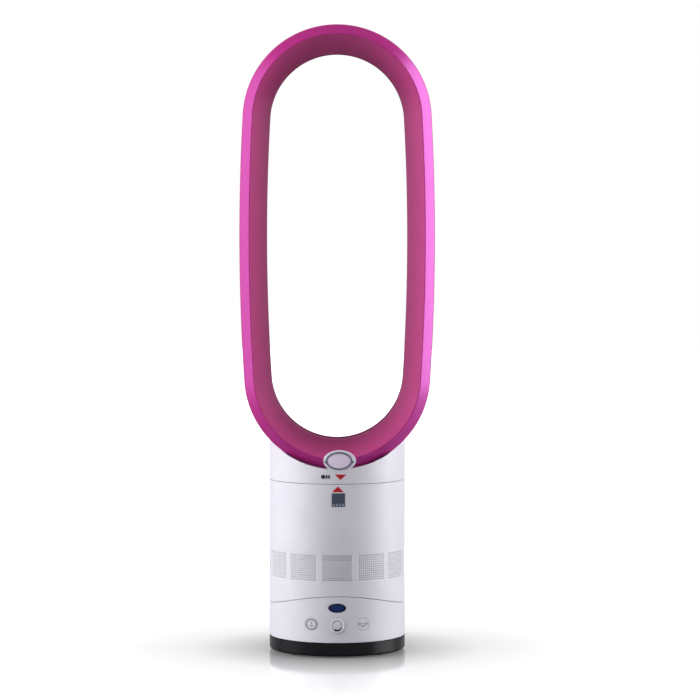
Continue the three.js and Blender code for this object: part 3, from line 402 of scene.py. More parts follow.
def loopStations():
    low = atan2(loop["waist"] - footCentre, sideCentre)
    high = atan2(sideRise, sideCentre)
    arcs = (
        (0.0, loop["topCentre"], loop["topRadius"], high, pi - high, loop["topSteps"]),
        (sideCentre, loop["waist"], sideRadius, pi - high, pi + low, loop["sideSteps"]),
        (0.0, footCentre, footRadius, pi + low, 2 * pi - low, loop["footSteps"]),
        (-sideCentre, loop["waist"], sideRadius, -low, high, loop["sideSteps"]),
    )
    stations = []
    for x, z, radius, start, end, steps in arcs:
        for i in range(steps):
            angle = start + (end - start) * i / steps
            stations.append((x, z, radius, cos(angle), sin(angle)))
    return stations


def loopSheet(section):
    sheet = Sheet()
    rows = []
    for x, z, radius, ax, az in loopStations():
        rows.append(sheet.add([(x + (radius - n) * ax, y, z + (radius - n) * az) for n, y in section]))
    sheet.bands(rows, around=True)
    return sheet


def outerSection():
    wall = loop["wall"]
    ridge = loop["ridge"] - loop["ridgeGap"] / 2
    level = loop["front"] + loop["ridge"]   # where the facet would meet the side
    bend, start, rear = loop["rearBend"], loop["bendStart"], loop["rear"]
    lipInset, lipY = loop["lip"]
    quarterTurn = pi / 2
    outside = [(ridge, level - ridge), (0.0, level), (0.0, -30.0), (0.0, 10.0)]
    outside += ellipseArc(bend, start, bend, rear - start, pi, quarterTurn, 14)
    outside += ellipseArc(bend, lipY, lipInset - bend, rear - lipY, quarterTurn, 0, 16)[1:]
    thin = lipInset - bend - 2
    inside = ellipseArc(bend, lipY, thin, rear - wall - lipY, 0, quarterTurn, 12)
    inside += ellipseArc(bend, start, bend - wall, rear - wall - start, quarterTurn, pi, 12)[1:]
    back = wall * sqrt(2)
    inside += [(wall, level - wall + back), (ridge, level - ridge + back)]
    lip = len(outside) - 1
    root = len(outside + inside) - 1
    return softened(outside + inside, {0: 1.4, 1: 2.2, lip: 0.7, lip + 1: 0.7, root: 0.3})


def innerSection():
    wall = loop["wall"]
    start = (loop["ridge"] + loop["ridgeGap"] / 2, loop["front"])
    throat = loop["throat"]
    lipInset, lipY = loop["lip"]
    heel = (lipInset - 2 - loop["airSlot"], lipY + 6)
    bend = tuple(a + share * (b - a) for a, b, share in zip(start, throat, loop["flareBend"]))
    turnBack = tuple(a + b for a, b in zip(throat, loop["throatRun"]))
    skin = curvePoints(start, bend, throat, evenShares(26))
    skin += curvePoints(throat, turnBack, heel, evenShares(14))[1:]
    back = [(n - wall, y) for n, y in reversed(skin[2:])]
    root = (start[0], start[1] + 3 * wall)
    outline = skin + back + [root]
    return softened(outline, {0: 0.5, len(skin) - 1: 0.5, len(skin): 0.5})


makePiece("outerCasing", loopSheet(outerSection()), "magentaLacquer", "loop", 50,
          "loop_outer_casing")
makePiece("innerCasing", loopSheet(innerSection()), "magentaSatin", "loop", 50,
          "loop_inner_casing")
print("loop swept")


# the collar: wall and shoulder, hollowed by the saddle that the loop sits in
collar = {
    "bottom": 240.3, "shoulderStart": 292.7, "shoulderRadius": 6.0, "gap": 0.4,
    "lipStart": 64.0, "lipSlope": 0.039, "lipEase": 5.0, "deck": 3.0, "rim": 0.6,
    "hole": (40.0, 35.0), "flange": 2.5, "spigotRadius": 84.0, "spigotDepth": 11.0,
    "lugReach": 3.0, "lugHeight": 3.0, "lugLift": 1.5, "lugAngle": 12.0, "lugs": 3, "columns": 288,
}


def saddleRadius(y, deep=0.0):
    past = abs(y) - collar["lipStart"]
    ease = collar["lipEase"]
    if past > ease:
        rise = past
    elif past > -ease:
        rise = (past + ease) ** 2 / (4 * ease)
    else:
        rise = 0.0
    return footRadius + collar["gap"] - collar["lipSlope"] * rise + deep


def saddleHeight(x, y, deep=0.0):
    r = saddleRadius(y, deep)
    return footCentre - sqrt(max(r * r - x * x, 1.0))


# a place along the collar's outside, measured up the wall and round the shoulder
def collarProfile(along, thick=0.0):
    shoulder, radius = collar["shoulderStart"], collar["shoulderRadius"]
    wallRise, bend = shoulder - collar["bottom"], radius - thick
    if along <= wallRise:
        return outerR - thick, collar["bottom"] + along
    angle = min((along - wallRise) / bend, pi / 2)
    return outerR - radius + bend * cos(angle), shoulder + bend * sin(angle)


# how far along that line the saddle cuts it, in the direction of an angle
def collarCrossing(angle, thick=0.0, deep=0.0):
    low, high = 0.0, 70.0
    for _ in range(40):
        middle = (low + high) / 2
        r, z = collarProfile(middle, thick)
        x, y = r * cos(angle), r * sin(angle)
        if hypot(x, footCentre - z) > saddleRadius(y, deep):
            low = middle
        else:
            high = middle
    return low


def collarColumn(angle):
    ca, sa = cos(angle), sin(angle)
    edge, rim = column["edge"], collar["rim"]
    points = [(outerR - edge, collar["bottom"]), (outerR, collar["bottom"] + edge)]
    top = collarCrossing(angle)
    points += [collarProfile(edge + (top - rim - edge) * i / 16) for i in range(1, 17)]
    crest = collarProfile(top)
    hole = edgeReach(angle, *collar["hole"], 8.0)

    def onSaddle(r, deep=0.0):
        return r, saddleHeight(r * ca, r * sa, deep)

    start, inward = collarProfile(top - rim), onSaddle(crest[0] - rim)
    points += curvePoints(start, crest, inward, (0.25, 0.5, 0.75))
    points += [onSaddle(crest[0] - rim + (hole - crest[0] + rim) * i / 12) for i in range(13)]
    wall, flange, spigot = column["wall"], collar["flange"], collar["spigotRadius"]
    below = collarCrossing(angle, wall, collar["deck"])
    inner = collarProfile(below, wall)[0]
    points += [onSaddle(hole + (inner - hole) * i / 6, collar["deck"]) for i in range(7)]
    points += [collarProfile(below + (flange - below) * i / 7, wall) for i in range(1, 8)]
    spigotFoot = collar["bottom"] - collar["spigotDepth"]
    points += [(spigot - flange, collar["bottom"] + flange), (spigot - flange, spigotFoot),
               (spigot, spigotFoot), (spigot, collar["bottom"])]
    return [(r * ca, r * sa, z) for r, z in points]


def collarSheet():
    sheet = Sheet()
    rows = [sheet.add(collarColumn(angle)) for angle in fullTurn(collar["columns"])]
    sheet.bands(rows, around=True)
    low = collar["bottom"] - collar["spigotDepth"] + collar["lugLift"]
    for i in range(collar["lugs"]):
        middle = 2 * pi * i / collar["lugs"]
        half = radians(collar["lugAngle"]) / 2
        arcs = []
        for k in range(9):
            a = middle - half + 2 * half * k / 8
            ring = []
            for r, z in ((-0.5, 0), (collar["lugReach"], 0), (collar["lugReach"], 1), (-0.5, 1)):
                reach = collar["spigotRadius"] + r
                ring.append((reach * cos(a), reach * sin(a), low + z * collar["lugHeight"]))
            arcs.append(sheet.add(ring))
        sheet.bands(arcs)
        sheet.faces += [tuple(arcs[0]), tuple(arcs[-1])]
    return sheet


makePiece("collarShell", collarSheet(), "whiteGloss", "loop", 38, "collar")
print("collar made")


# the column's upper shell with its perforated intake panels
tower = {
    "top": 239.7, "tiltGap": -0.3, "grilleBottom": 106.0, "grilleTop": 142.6, "panels": 12,
    "panelAngle": 24.5, "across": 13, "up": 12, "holeRadius": 0.88, "recess": 0.35, "border": 0.4,
    "lowRows": 7, "highRows": 12,
}


# directions round the tower, each with its column's number in a panel or none between the panels
def towerColumns():
    pitch, panelAngle, cells = 360 / tower["panels"], tower["panelAngle"], 2 * tower["across"]
    gap, border = pitch - panelAngle, degrees(tower["border"] / outerR)
    columns = []
    for panel in range(tower["panels"]):
        middle = -90 + panel * pitch
        start, end = middle - panelAngle / 2, middle + panelAngle / 2
        columns += [(radians(start + panelAngle * j / cells), j) for j in range(cells + 1)]
        columns += [(radians(end + extra), None)
                    for extra in (border, gap * 0.3, gap * 0.5, gap * 0.7, gap - border)]
    return columns


def towerSheet():
    sheet = Sheet()
    cellsX, cellsZ = tower["across"], tower["up"]
    columns = towerColumns()
    radius = tilt["radius"] + tower["tiltGap"]
    edge = column["edge"]
    grilleLow, grilleHigh = tower["grilleBottom"], tower["grilleTop"]
    panelRows = [grilleLow + (grilleHigh - grilleLow) * i / (2 * cellsZ) for i in range(2 * cellsZ + 1)]
    lowEnd, highStart = grilleLow - tower["border"], grilleHigh + tower["border"]

    def skinRow(r, level):
        row = []
        for a, j in columns:
            reach, z = level(r, r * sin(a), j)
            row.append((reach * cos(a), reach * sin(a), z))
        return row

    def lowLevel(t, lift, inset):
        def level(r, y, j):
            bottom = tiltEdge(radius, y) + lift
            return r - inset, bottom + (lowEnd - bottom) * t
        return level

    def flatLevel(z, recess, inset=0.0):
        def level(r, y, j):
            sunk = recess if (j is not None and r > innerR + 1) else 0.0
            return r - sunk - inset, z
        return level

    levels = [lowLevel(0, 0, edge), lowLevel(0, edge, 0)]
    for i in range(1, tower["lowRows"] + 1):
        t = i / tower["lowRows"]
        levels.append(lowLevel(t, edge * (1 - t), 0))
    firstPanelRow = len(levels)
    levels += [flatLevel(z, tower["recess"]) for z in panelRows]
    lastPanelRow = len(levels) - 1
    highRise, lastRow = tower["top"] - edge - highStart, tower["highRows"] - 1
    levels += [flatLevel(highStart + highRise * i / lastRow, 0) for i in range(lastRow + 1)]
    levels.append(flatLevel(tower["top"], 0, edge))
    skins = []
    for r, endLift in ((outerR, 0.0), (innerR, edge)):
        skin = []
        for level in levels:
            atEnd = level in (levels[0], levels[-1])
            skin.append(sheet.add(skinRow(r + endLift if atEnd else r, level)))
        skins.append(skin)
    holeStart = [k for k, (_, j) in enumerate(columns) if j in range(0, 2 * cellsX, 2)]
    holeCells = set()
    for i in range(firstPanelRow, lastPanelRow, 2):
        for k in holeStart:
            holeCells |= {(i, k), (i + 1, k), (i, k + 1), (i + 1, k + 1)}
    for skin in skins:
        sheet.grid(skin, holeCells)
    sheet.band(skins[0][0], skins[1][0])
    sheet.band(skins[0][-1], skins[1][-1])
    stepAngle = radians(tower["panelAngle"] / (2 * cellsX))
    stepZ = (grilleHigh - grilleLow) / (2 * cellsZ)
    around = ((-1, -1), (0, -1), (1, -1), (1, 0), (1, 1), (0, 1), (-1, 1), (-1, 0))
    for i in range(firstPanelRow, lastPanelRow, 2):
        for k in holeStart:
            rings = []
            for skin, r in zip(skins, (outerR - tower["recess"], innerR)):
                border = [skin[i + 1 + v][k + 1 + u] for u, v in around]
                ring = []
                for u, v in around:
                    aside, up = u * stepAngle * outerR, v * stepZ
                    scale = tower["holeRadius"] / hypot(aside, up)
                    a = columns[k + 1][0] + aside * scale / outerR
                    z = panelRows[i + 1 - firstPanelRow] + up * scale
                    ring.append((r * cos(a), r * sin(a), z))
                ring = sheet.add(ring)
                sheet.band(border, ring)
                rings.append(ring)
            sheet.band(*rings)
    return sheet


makePiece("towerShell", towerSheet(), "whiteGloss", "tower", 38, "tower_shell")
print("tower shell made")


# the shell with the controls, under the arched tilt seam
controls = {
    "bottom": 21.3, "tiltGap": 0.3, "columns": 240, "rows": 28, "fit": 0.3,
    "window": (24.3, 12.4, 69.4), "knobRadius": 10.0, "knobHeight": 45.0,
    "buttonRadius": 8.6, "buttonX": 35.5, "buttonHeight": 46.4,
    "flange": (-80.46, 1.0, 1.4), "stemRadius": 2.0, "stemEnd": -77.3,
}


def controlSheet():
    count, rows = controls["columns"], controls["rows"]
    angles = [radians(-90 + 360 * k / count) for k in range(count)]
    edge, bottom = column["edge"], controls["bottom"]
    radius = tilt["radius"] + controls["tiltGap"]
    skins = []
    for r, inset in ((outerR, edge), (innerR, -edge)):
        skin = []
        for i in range(rows + 3):
            reach = r - inset if i in (0, rows + 2) else r
            row = []
            for a in angles:
                x, y = reach * cos(a), reach * sin(a)
                top = tiltEdge(radius, y)
                between = bottom + edge + (top - bottom - 2 * edge) * (i - 1) / rows
                row.append((x, y, {0: bottom, rows + 2: top}.get(i, between)))
            skin.append(row)
        skins.append(skin)
    fit = controls["fit"]
    width, height, level = controls["window"]
    knob, button = controls["knobRadius"] + fit, controls["buttonRadius"] + fit
    holes = [{"rows": (18, 27), "columns": (-11, 11), "centre": (0, level),
              "half": (width / 2 + fit, height / 2 + fit)},
             {"rows": (4, 18), "columns": (-9, 9), "centre": (0, controls["knobHeight"]),
              "half": (knob, knob)}]
    for side, span in ((-1, (-21, -9)), (1, (9, 21))):
        holes.append({"rows": (5, 19), "columns": span, "half": (button, button),
                      "centre": (side * controls["buttonX"], controls["buttonHeight"])})
    return shellSheet(skins, holes)[0]


makePiece("controlShell", controlSheet(), "whiteGloss", "turntable", 38, "control_shell")


# glossy black base with its floor, feet and mains inlet
base = {
    "bottom": 2.0, "edge": 3.0, "top": 20.7, "floorTop": 4.5, "columns": 240, "rows": 12,
    "panRing": (68.0, 67.4, 30.0, 29.4), "panRingDepth": 0.6, "hub": 12.0,
    "inletHalf": 13.3, "inletLow": 5.0, "inletHigh": 18.1,
}


def basePanSheet():
    count = base["columns"]
    angles = [radians(90 + 360 * k / count) for k in range(count)]
    bottom, edge, rim, rows = base["bottom"], base["edge"], column["edge"], base["rows"]
    start, rise = bottom + edge + 0.001, base["top"] - rim - bottom - edge
    levels = [start + rise * i / rows for i in range(rows + 1)]

    def ring(r, z):
        return [(r * cos(a), r * sin(a), z) for a in angles]

    skins = [[ring(r, z) for z in levels] + [ring(r + inset, base["top"])]
             for r, inset in ((outerR, -rim), (innerR, rim))]
    opening = {"rows": (0, 12), "columns": (-9, 9), "facing": 1, "power": 14.0, "rim": 0.25,
               "centre": (0, (base["inletLow"] + base["inletHigh"]) / 2 + 0.4),
               "half": (base["inletHalf"], (base["inletHigh"] - base["inletLow"]) / 2 - 0.4)}
    sheet, grids = shellSheet(skins, [opening], openFoot=True)
    # bottom edge, underside with a shallow ring, and the floor inside
    r0, r1, r2, r3 = base["panRing"]
    deep = bottom + base["panRingDepth"]
    under = ellipseArc(outerR - edge, bottom + edge, edge, edge, 0, -pi / 2, 8)[1:]
    under += [(r0, bottom), (r1, deep), (r2, deep), (r3, bottom), (base["hub"], bottom)]
    above = [(r, base["floorTop"]) for r in (innerR - 0.6, 60.0, base["hub"])]
    for start, outline in ((grids[0][0], under), (grids[1][0], above)):
        rings = [start] + [sheet.add(ring(r, z)) for r, z in outline]
        sheet.bands(rings)
        sheet.fan(rings[-1], (0, 0, outline[-1][1]))
    return sheet


makePiece("basePan", basePanSheet(), "blackGloss", "base", 38, "base_pan")

foot = {"circle": 78.0, "radius": 8.0, "height": 1.7, "edge": 0.3, "treads": ((5.6, 4.2), (2.8, 1.3)),
        "tread": 0.35}


def footSheet(x, y):
    r, h, edge, tread = foot["radius"], foot["height"], foot["edge"], foot["tread"]
    outline = [(0, h), (r - edge, h), (r, h - edge), (r - 0.2, 0.4), (r - 0.6, 0.0)]
    for wide, narrow in foot["treads"]:
        outline += [(wide, 0.0), (wide - edge, tread), (narrow + edge, tread), (narrow, 0.0)]
    return turnedSheet(outline + [(0, 0.0)], 48, x, y)


for i in range(4):
    turn = pi / 4 + i * pi / 2
    place = foot["circle"] * cos(turn), foot["circle"] * sin(turn)
    makePiece(f"footPad{i + 1}", footSheet(*place), "rubberFinish", "base", 30, f"foot_{i + 1}")

inlet = {"half": 13.0, "low": 5.4, "high": 17.8, "back": 95.12, "depth": 20.0, "socketHeight": 11.3,
         "socketDepth": 12.0, "lobe": 4.6, "lobeSpacing": 8.6, "waist": 3.9}


# a block with rounded corners and a figure-eight socket with a raised rim
def inletSheet():
    sheet = Sheet()
    cz = inlet["socketHeight"]
    middle, half = (inlet["low"] + inlet["high"]) / 2, (inlet["high"] - inlet["low"]) / 2
    back, front = inlet["back"], inlet["back"] - inlet["depth"]
    offset, end = inlet["lobeSpacing"] / 2, back - inlet["socketDepth"]
    turn = fullTurn(96)

    def shell(grow, y):
        reaches = [edgeReach(a, inlet["half"] + grow, half + grow, 12.0) for a in turn]
        return sheet.add([(r * cos(a), y, middle + r * sin(a)) for a, r in zip(turn, reaches)])

    def socket(grow, y):
        ring = []
        for a in turn:
            lobe = offset * abs(cos(a)) + sqrt(inlet["lobe"] ** 2 - (offset * sin(a)) ** 2)
            reach = max(lobe, inlet["waist"] / max(abs(sin(a)), 0.6)) + grow
            ring.append((reach * cos(a), y, cz + reach * sin(a)))
        return sheet.add(ring)

    rings = [shell(-0.3, front), shell(0, front + 0.3), shell(0, back - 0.4), shell(-0.4, back),
             socket(1.3, back), socket(1.0, back - 0.35), socket(0.4, back - 0.35), socket(0.0, back - 0.8),
             socket(0.0, end)]
    sheet.bands(rings)
    sheet.fan(rings[0], (0, front, middle))
    sheet.fan(rings[-1], (0, end, cz))
    return sheet


makePiece("mainsInlet", inletSheet(), "blackPlastic", "base", 30, "power_inlet")
print("base and shells made")


# a stack of rings seen from the front, each a function of a direction's cosine and sine
def ringStack(rings, count=72):
    sheet = Sheet()
    rows = [sheet.add([ring(cos(a), sin(a)) for a in fullTurn(count)]) for ring in rings]
    sheet.bands(rows)
    for row in (rows[0], rows[-1]):
        sheet.fan(row, sum((Vector(sheet.points[v]) for v in row), Vector()) / count)
    return sheet


def curvedRing(cx, cz, halfX, halfZ, depth):
    return lambda c, s: onColumn(cx + halfX * c, cz + halfZ * s, depth)


def flatRing(cx, cz, halfX, halfZ, y):
    return lambda c, s: (cx + halfX * c, y, cz + halfZ * s)


def buttonSheet(x):
    z, r, stem = controls["buttonHeight"], controls["buttonRadius"], controls["stemRadius"]
    flange, lip, thick = controls["flange"]
    skin = [(r * share, 0) for share in (0.12, 0.35, 0.6, 0.8)]
    skin += [(r - 0.35, 0), (r - 0.08, 0.08), (r, 0.35)]
    shaft = [(r, flange), (r + lip, flange), (r + lip, flange + thick), (stem, flange + thick),
             (stem, controls["stemEnd"])]
    return ringStack([curvedRing(x, z, reach, reach, depth) for reach, depth in skin]
                     + [flatRing(x, z, reach, reach, y) for reach, y in shaft])


markDepth = {"proud": 0.1, "sink": 0.25}


# a thin mark between two heights over a span of x, laid on the column's skin
def markSheet(spans, sheet=None, proud=markDepth["proud"]):
    sheet = sheet or Sheet()
    for xs, low, high in spans:
        fronts, backs = [], []
        for x in xs:
            z0, z1 = low(x), high(x)
            for row, depth in ((fronts, -proud), (backs, markDepth["sink"])):
                row.append(sheet.add([onColumn(x, z0, depth), onColumn(x, z1, depth)]))
        for k in range(len(xs) - 1):
            f0, f1, b0, b1 = fronts[k], fronts[k + 1], backs[k], backs[k + 1]
            sheet.faces += [(f0[0], f1[0], f1[1], f0[1]), (b0[0], b0[1], b1[1], b1[0]),
                            (f0[0], b0[0], b1[0], f1[0]), (f0[1], f1[1], b1[1], b0[1])]
        for f, b in ((fronts[0], backs[0]), (fronts[-1], backs[-1])):
            sheet.faces.append((f[0], f[1], b[1], b[0]))
    return sheet


def across(x0, x1, steps):
    return [x0 + (x1 - x0) * i / steps for i in range(steps + 1)]


# part of a ring, on the column's skin or on a flat face; taper is the share of its width left at the end
def arcMark(cx, cz, r0, r1, start, end, taper=1.0, steps=40, sheet=None, proud=markDepth["proud"],
            sink=markDepth["sink"], place=onColumn):
    sheet = sheet or Sheet()
    rows = []
    for i in range(steps + 1):
        t = i / steps
        a = radians(start + (end - start) * t)
        share = 1 - (1 - taper) * t
        middle, half = (r0 + r1) / 2, (r1 - r0) / 2 * share
        row = []
        for side, depth in ((-half, -proud), (half, -proud), (half, sink), (-half, sink)):
            r = middle + side
            row.append(place(cx + r * cos(a), cz + r * sin(a), depth))
        rows.append(sheet.add(row))
    sheet.bands(rows)
    if abs(end - start) < 360:
        sheet.faces += [tuple(rows[0]), tuple(rows[-1])]
    return sheet


def makeMark(name, sheet, finish, body):
    makePiece(name, sheet, finish, body, 60)


# an edge of a mark at the same height for every x
def level(z):
    return lambda x: z


for name, side, body, node in (("powerButton", -1, "power_key", "power_button"),
                               ("oscillationButton", 1, "oscillation_key", "oscillation_button")):
    makePiece(name, buttonSheet(side * controls["buttonX"]), "whiteGloss", body, 38, node)

# the grey ring near the button's edge is painted shade of the gap round the button; the bar and loop are the
# printed power sign
powerMark = {"ring": (5.7, 8.0), "bar": (0.9, 0.4, 3.8), "loop": (0.7, 1.9, -2.0)}
px, pz = -controls["buttonX"], controls["buttonHeight"]
makeMark("powerRingShade", arcMark(px, pz, *powerMark["ring"], 0, 360, steps=72), "markGreyAndShade", "power_key")
half, low, high = powerMark["bar"]
sign = markSheet([(across(px - half, px + half, 3), level(pz + low), level(pz + high))])
inner, outer, drop = powerMark["loop"]
sign = arcMark(px, pz + drop, inner, outer, 0, 360, steps=36, sheet=sign)
makeMark("powerSign", sign, "markGreyAndShade", "power_key")

swing = {"tip": 6.8, "neck": 3.6, "head": 2.7, "rise": 0.7, "reach": 3.1,
         "bar": (-3.3, -1.8, 1.7), "thinBar": (0.2, 1.1, 0.6), "shadeDots": (7.3, 7.9, 30, 8)}
ox, oz = controls["buttonX"], controls["buttonHeight"]


# two arrowheads and a curved bar under a thin upper one, in a dotted ring of painted shade where the gap
# round the button lies
def swingSheet():
    def headEdge(sign):
        slope = swing["head"] / (swing["tip"] - swing["neck"])
        return lambda x: oz + swing["rise"] + sign * (0.05 + slope * (swing["tip"] - abs(x - ox)))

    def arch(height, rise):
        return lambda x: oz + height + rise * ((x - ox) / swing["neck"]) ** 2

    spans = []
    for side in (-1, 1):
        ends = sorted((ox + side * swing["neck"], ox + side * swing["tip"]))
        spans.append((across(*ends, 6), headEdge(-1), headEdge(1)))
    for low, high, rise in (swing["bar"], swing["thinBar"]):
        span = across(ox - swing["reach"], ox + swing["reach"], 12)
        spans.append((span, arch(low, rise), arch(high, rise)))
    sheet = markSheet(spans)
    # the dotted ring is painted shade of the gap round the button
    inner, outer, spacing, length = swing["shadeDots"]
    for start in range(0, 360, spacing):
        arcMark(ox, oz, inner, outer, start, start + length, steps=2, sheet=sheet)
    return sheet


makeMark("swingSign", swingSheet(), "markGreyAndShade", "oscillation_key")

# the profile is radius and depth behind the knob's face, from its middle outwards
knob = {"face": -97.0, "back": -88.5, "shaft": 3.0, "shaftEnd": -75.6,
        "crescent": (4.8, 7.5, 234, 348), "crescentSink": 0.95,
        "profile": ((0.6, 0.25), (2.4, 0.3), (4.4, 0.5), (5.9, 0.95), (6.5, 1.4), (7.0, 1.5), (7.6, 1.3),
                    (8.1, 0.55), (8.5, 0.1), (8.9, 0.0), (9.3, 0.12), (9.7, 0.5), (9.95, 1.0), (10.0, 1.6))}


def knobSheet():
    profile = [(r, knob["face"] + depth) for r, depth in knob["profile"]]
    profile += [(controls["knobRadius"], knob["back"]), (knob["shaft"], knob["back"]),
                (knob["shaft"], knob["shaftEnd"])]
    return ringStack([flatRing(0, controls["knobHeight"], r, r, y) for r, y in profile])


def knobFace(x, z, depth):
    return (x, knob["face"] + knob["crescentSink"] + depth, z)


makePiece("speedKnob", knobSheet(), "whiteGloss", "knob", 38, "speed_knob")
# the dark crescent is painted shade of the gap under the dome, inlaid in the knob's groove
inner, outer, start, end = knob["crescent"]
makeMark("knobShadeCrescent", arcMark(0, controls["knobHeight"], inner, outer, start, end, taper=0.2,
         proud=0.35, sink=0.6, place=knobFace), "markInkAndShade", "knob")


def windowSheet(scale, edgeDepth, topDepth, back):
    width, height, z = controls["window"]
    hx, hz = width / 2 * scale, height / 2 * scale
    rings = []
    for s in (0.1, 0.3, 0.5, 0.7, 0.85, 0.95):
        rings.append(curvedRing(0, z, hx * s, hz * s, edgeDepth + (topDepth - edgeDepth) * (1 - s * s)))
    rings += [curvedRing(0, z, hx, hz, edgeDepth + 0.25), curvedRing(0, z, hx, hz, back)]
    return ringStack(rings, 96)


makePiece("windowLens", windowSheet(1.0, 0.0, -0.12, 3.2), "windowRim", "turntable", 45,
          "oval_window")
makePiece("windowGlow", windowSheet(0.76, -0.06, -0.14, 0.3), "windowGlow", "turntable", 45)
print("controls made")


# flat marks on the column: two red arrows, a dark square with four small bars, a dot with two bars
marks = {"lowerArrow": (0.9, 229.3, 237.3, 8.2), "upperArrow": (4.5, 253.6, 246.1, 8.0), "bluntTip": 0.02,
         "square": (1.6, 209.0, 227.8, 9.2), "smallBarRise": (1.2, 4.4),
         "smallBars": ((-7.4, -5.2), (-3.4, -1.2), (0.8, 3.0), (5.0, 7.4)),
         "dot": (-19.3, 250.2, 2.9), "bars": ((-15.8, -13.3), (-12.5, -10.0)), "barHalf": 2.4}


def arrowSheet(x, flat, tip, half):
    blunt = marks["bluntTip"] if tip > flat else -marks["bluntTip"]

    def slope(at):
        return flat + (tip - flat) * (1 - abs(at - x) / half) + blunt

    edges = (level(flat), slope) if tip > flat else (slope, level(flat))
    return markSheet([(across(x - half, x + half, 16), *edges)])


makeMark("lowerArrow", arrowSheet(*marks["lowerArrow"]), "markRed", "tower")
makeMark("upperArrow", arrowSheet(*marks["upperArrow"]), "markRed", "loop")
squareX, low, high, half = marks["square"]
square = markSheet([(across(squareX - half, squareX + half, 10), level(low), level(high))])
makeMark("darkSquare", square, "markSlate", "tower")
barEdges = [level(low + rise) for rise in marks["smallBarRise"]]
smallBars = [(across(squareX + x0, squareX + x1, 2), *barEdges) for x0, x1 in marks["smallBars"]]
makeMark("squareLights", markSheet(smallBars, proud=0.14), "markLight", "tower")
dotX, dotZ, dotRadius = marks["dot"]
low, high = level(dotZ - marks["barHalf"]), level(dotZ + marks["barHalf"])
sheet = arcMark(dotX, dotZ, 0.02, dotRadius, 0, 360, steps=36)
sheet = markSheet([(across(x0, x1, 2), low, high) for x0, x1 in marks["bars"]], sheet=sheet)
makeMark("dotAndBars", sheet, "markInkAndShade", "loop")


# the collar's front tongue with the oval badge, in front of the loop's foot
badge = {"x": 2.6, "z": 272.2, "tongue": (22.25, 14.7), "tongueShift": 0.7, "neck": 12.5, "neckFlare": 5.0,
         "flareTop": 265.0, "mostFlare": 1.3, "rim": 259.4, "foot": 250.0, "proudTongue": 0.05,
         "dip": (0.6, 4.0, 0.4, 1.5), "back": 2.5, "ring": (18.4, 12.6), "line": 2.8, "proud": 0.55,
         "bar": (6.8, 256.6), "dome": (0.12, 0.25)}


# the tongue is an oval on a neck that flares as it runs down into the wall
def insideTongue(x, z):
    x -= badge["tongueShift"]
    oval = (x / badge["tongue"][0]) ** 2 + ((z - badge["z"]) / badge["tongue"][1]) ** 2 <= 1
    flare = min(max((badge["flareTop"] - z) / (badge["flareTop"] - badge["rim"]), 0.0),
                badge["mostFlare"])
    neck = badge["neck"] + badge["neckFlare"] * flare ** 2
    return oval or (badge["foot"] <= z <= badge["z"] and abs(x) <= neck)


def tongueReach(angle):
    last, step = 0.0, 0.05
    for i in range(int(34 / step)):
        if insideTongue(i * step * cos(angle), badge["z"] + i * step * sin(angle)):
            last = i * step
    return last


# the tongue's face lies a hair above the wall and dips into it below the rim
def tongueDepth(z):
    start, length, depth, most = badge["dip"]
    return -badge["proudTongue"] + depth * min(max((badge["rim"] - start - z) / length, 0.0), most)


def tongueSheet():
    sheet = Sheet()
    turn = fullTurn(240)
    reaches = [tongueReach(a) for a in turn]
    back = badge["back"]
    rows = []
    edges = ((0.2, 0, 0), (0.4, 0, 0), (0.6, 0, 0), (0.8, 0, 0), (1, 0.6, 0), (1, 0.2, 0.15), (1, 0.0, 0.6),
             (1, 0.0, 2.0), (1, 0.3, back), (0.5, 0, back))   # share of the reach, inset and depth
    for share, inset, sink in edges:
        row = []
        for a, reach in zip(turn, reaches):
            r = reach * share - inset
            x, z = badge["x"] + r * cos(a), badge["z"] + r * sin(a)
            row.append(onColumn(x, z, tongueDepth(z) + sink if sink < 2 else sink))
        rows.append(sheet.add(row))
    sheet.bands(rows)
    sheet.fan(rows[0], onColumn(badge["x"], badge["z"], tongueDepth(badge["z"])))
    sheet.fan(rows[-1], onColumn(badge["x"], badge["z"], back))
    return sheet


makePiece("badgeTongue", tongueSheet(), "whiteGloss", "loop", 38)


# reach of the oval joined by straight flanks to the bar under it
def badgeReach(angle, grow):
    hx, hz = badge["ring"][0] + grow, badge["ring"][1] + grow
    half, low = badge["bar"][0] + grow, badge["bar"][1] - grow - badge["z"]
    reach = edgeReach(angle, hx, hz)
    dx, dz = abs(cos(angle)), sin(angle)
    if dz >= 0:
        return reach
    touch = atan2(low / hz, half / hx) + acos(1 / hypot(half / hx, low / hz))
    tx, tz = hx * cos(touch), hz * sin(touch)   # where the flank leaves the oval
    if dx * tz > dz * tx:
        return reach
    steep = dx * (low - tz) - dz * (half - tx)
    return min((tx * (low - tz) - tz * (half - tx)) / steep if steep else 0.0, low / dz)


def badgeRingSheet():
    line, proud = badge["line"], badge["proud"]
    turn = fullTurn(240)
    sheet = Sheet()

    def ring(inset, depth, outer):
        row = []
        for a in turn:
            if outer:
                reach = badgeReach(a, -inset)
            else:
                reach = edgeReach(a, badge["ring"][0] - line + inset, badge["ring"][1] - line + inset)
            row.append(onColumn(badge["x"] + reach * cos(a), badge["z"] + reach * sin(a), depth))
        return sheet.add(row)

    rows = [ring(0, 0.5, False), ring(0, 0.25 - proud, False), ring(0.3, -proud, False),
            ring(0.3, -proud, True), ring(0, 0.25 - proud, True), ring(0, 0.5, True)]
    sheet.bands(rows, around=True)
    return sheet


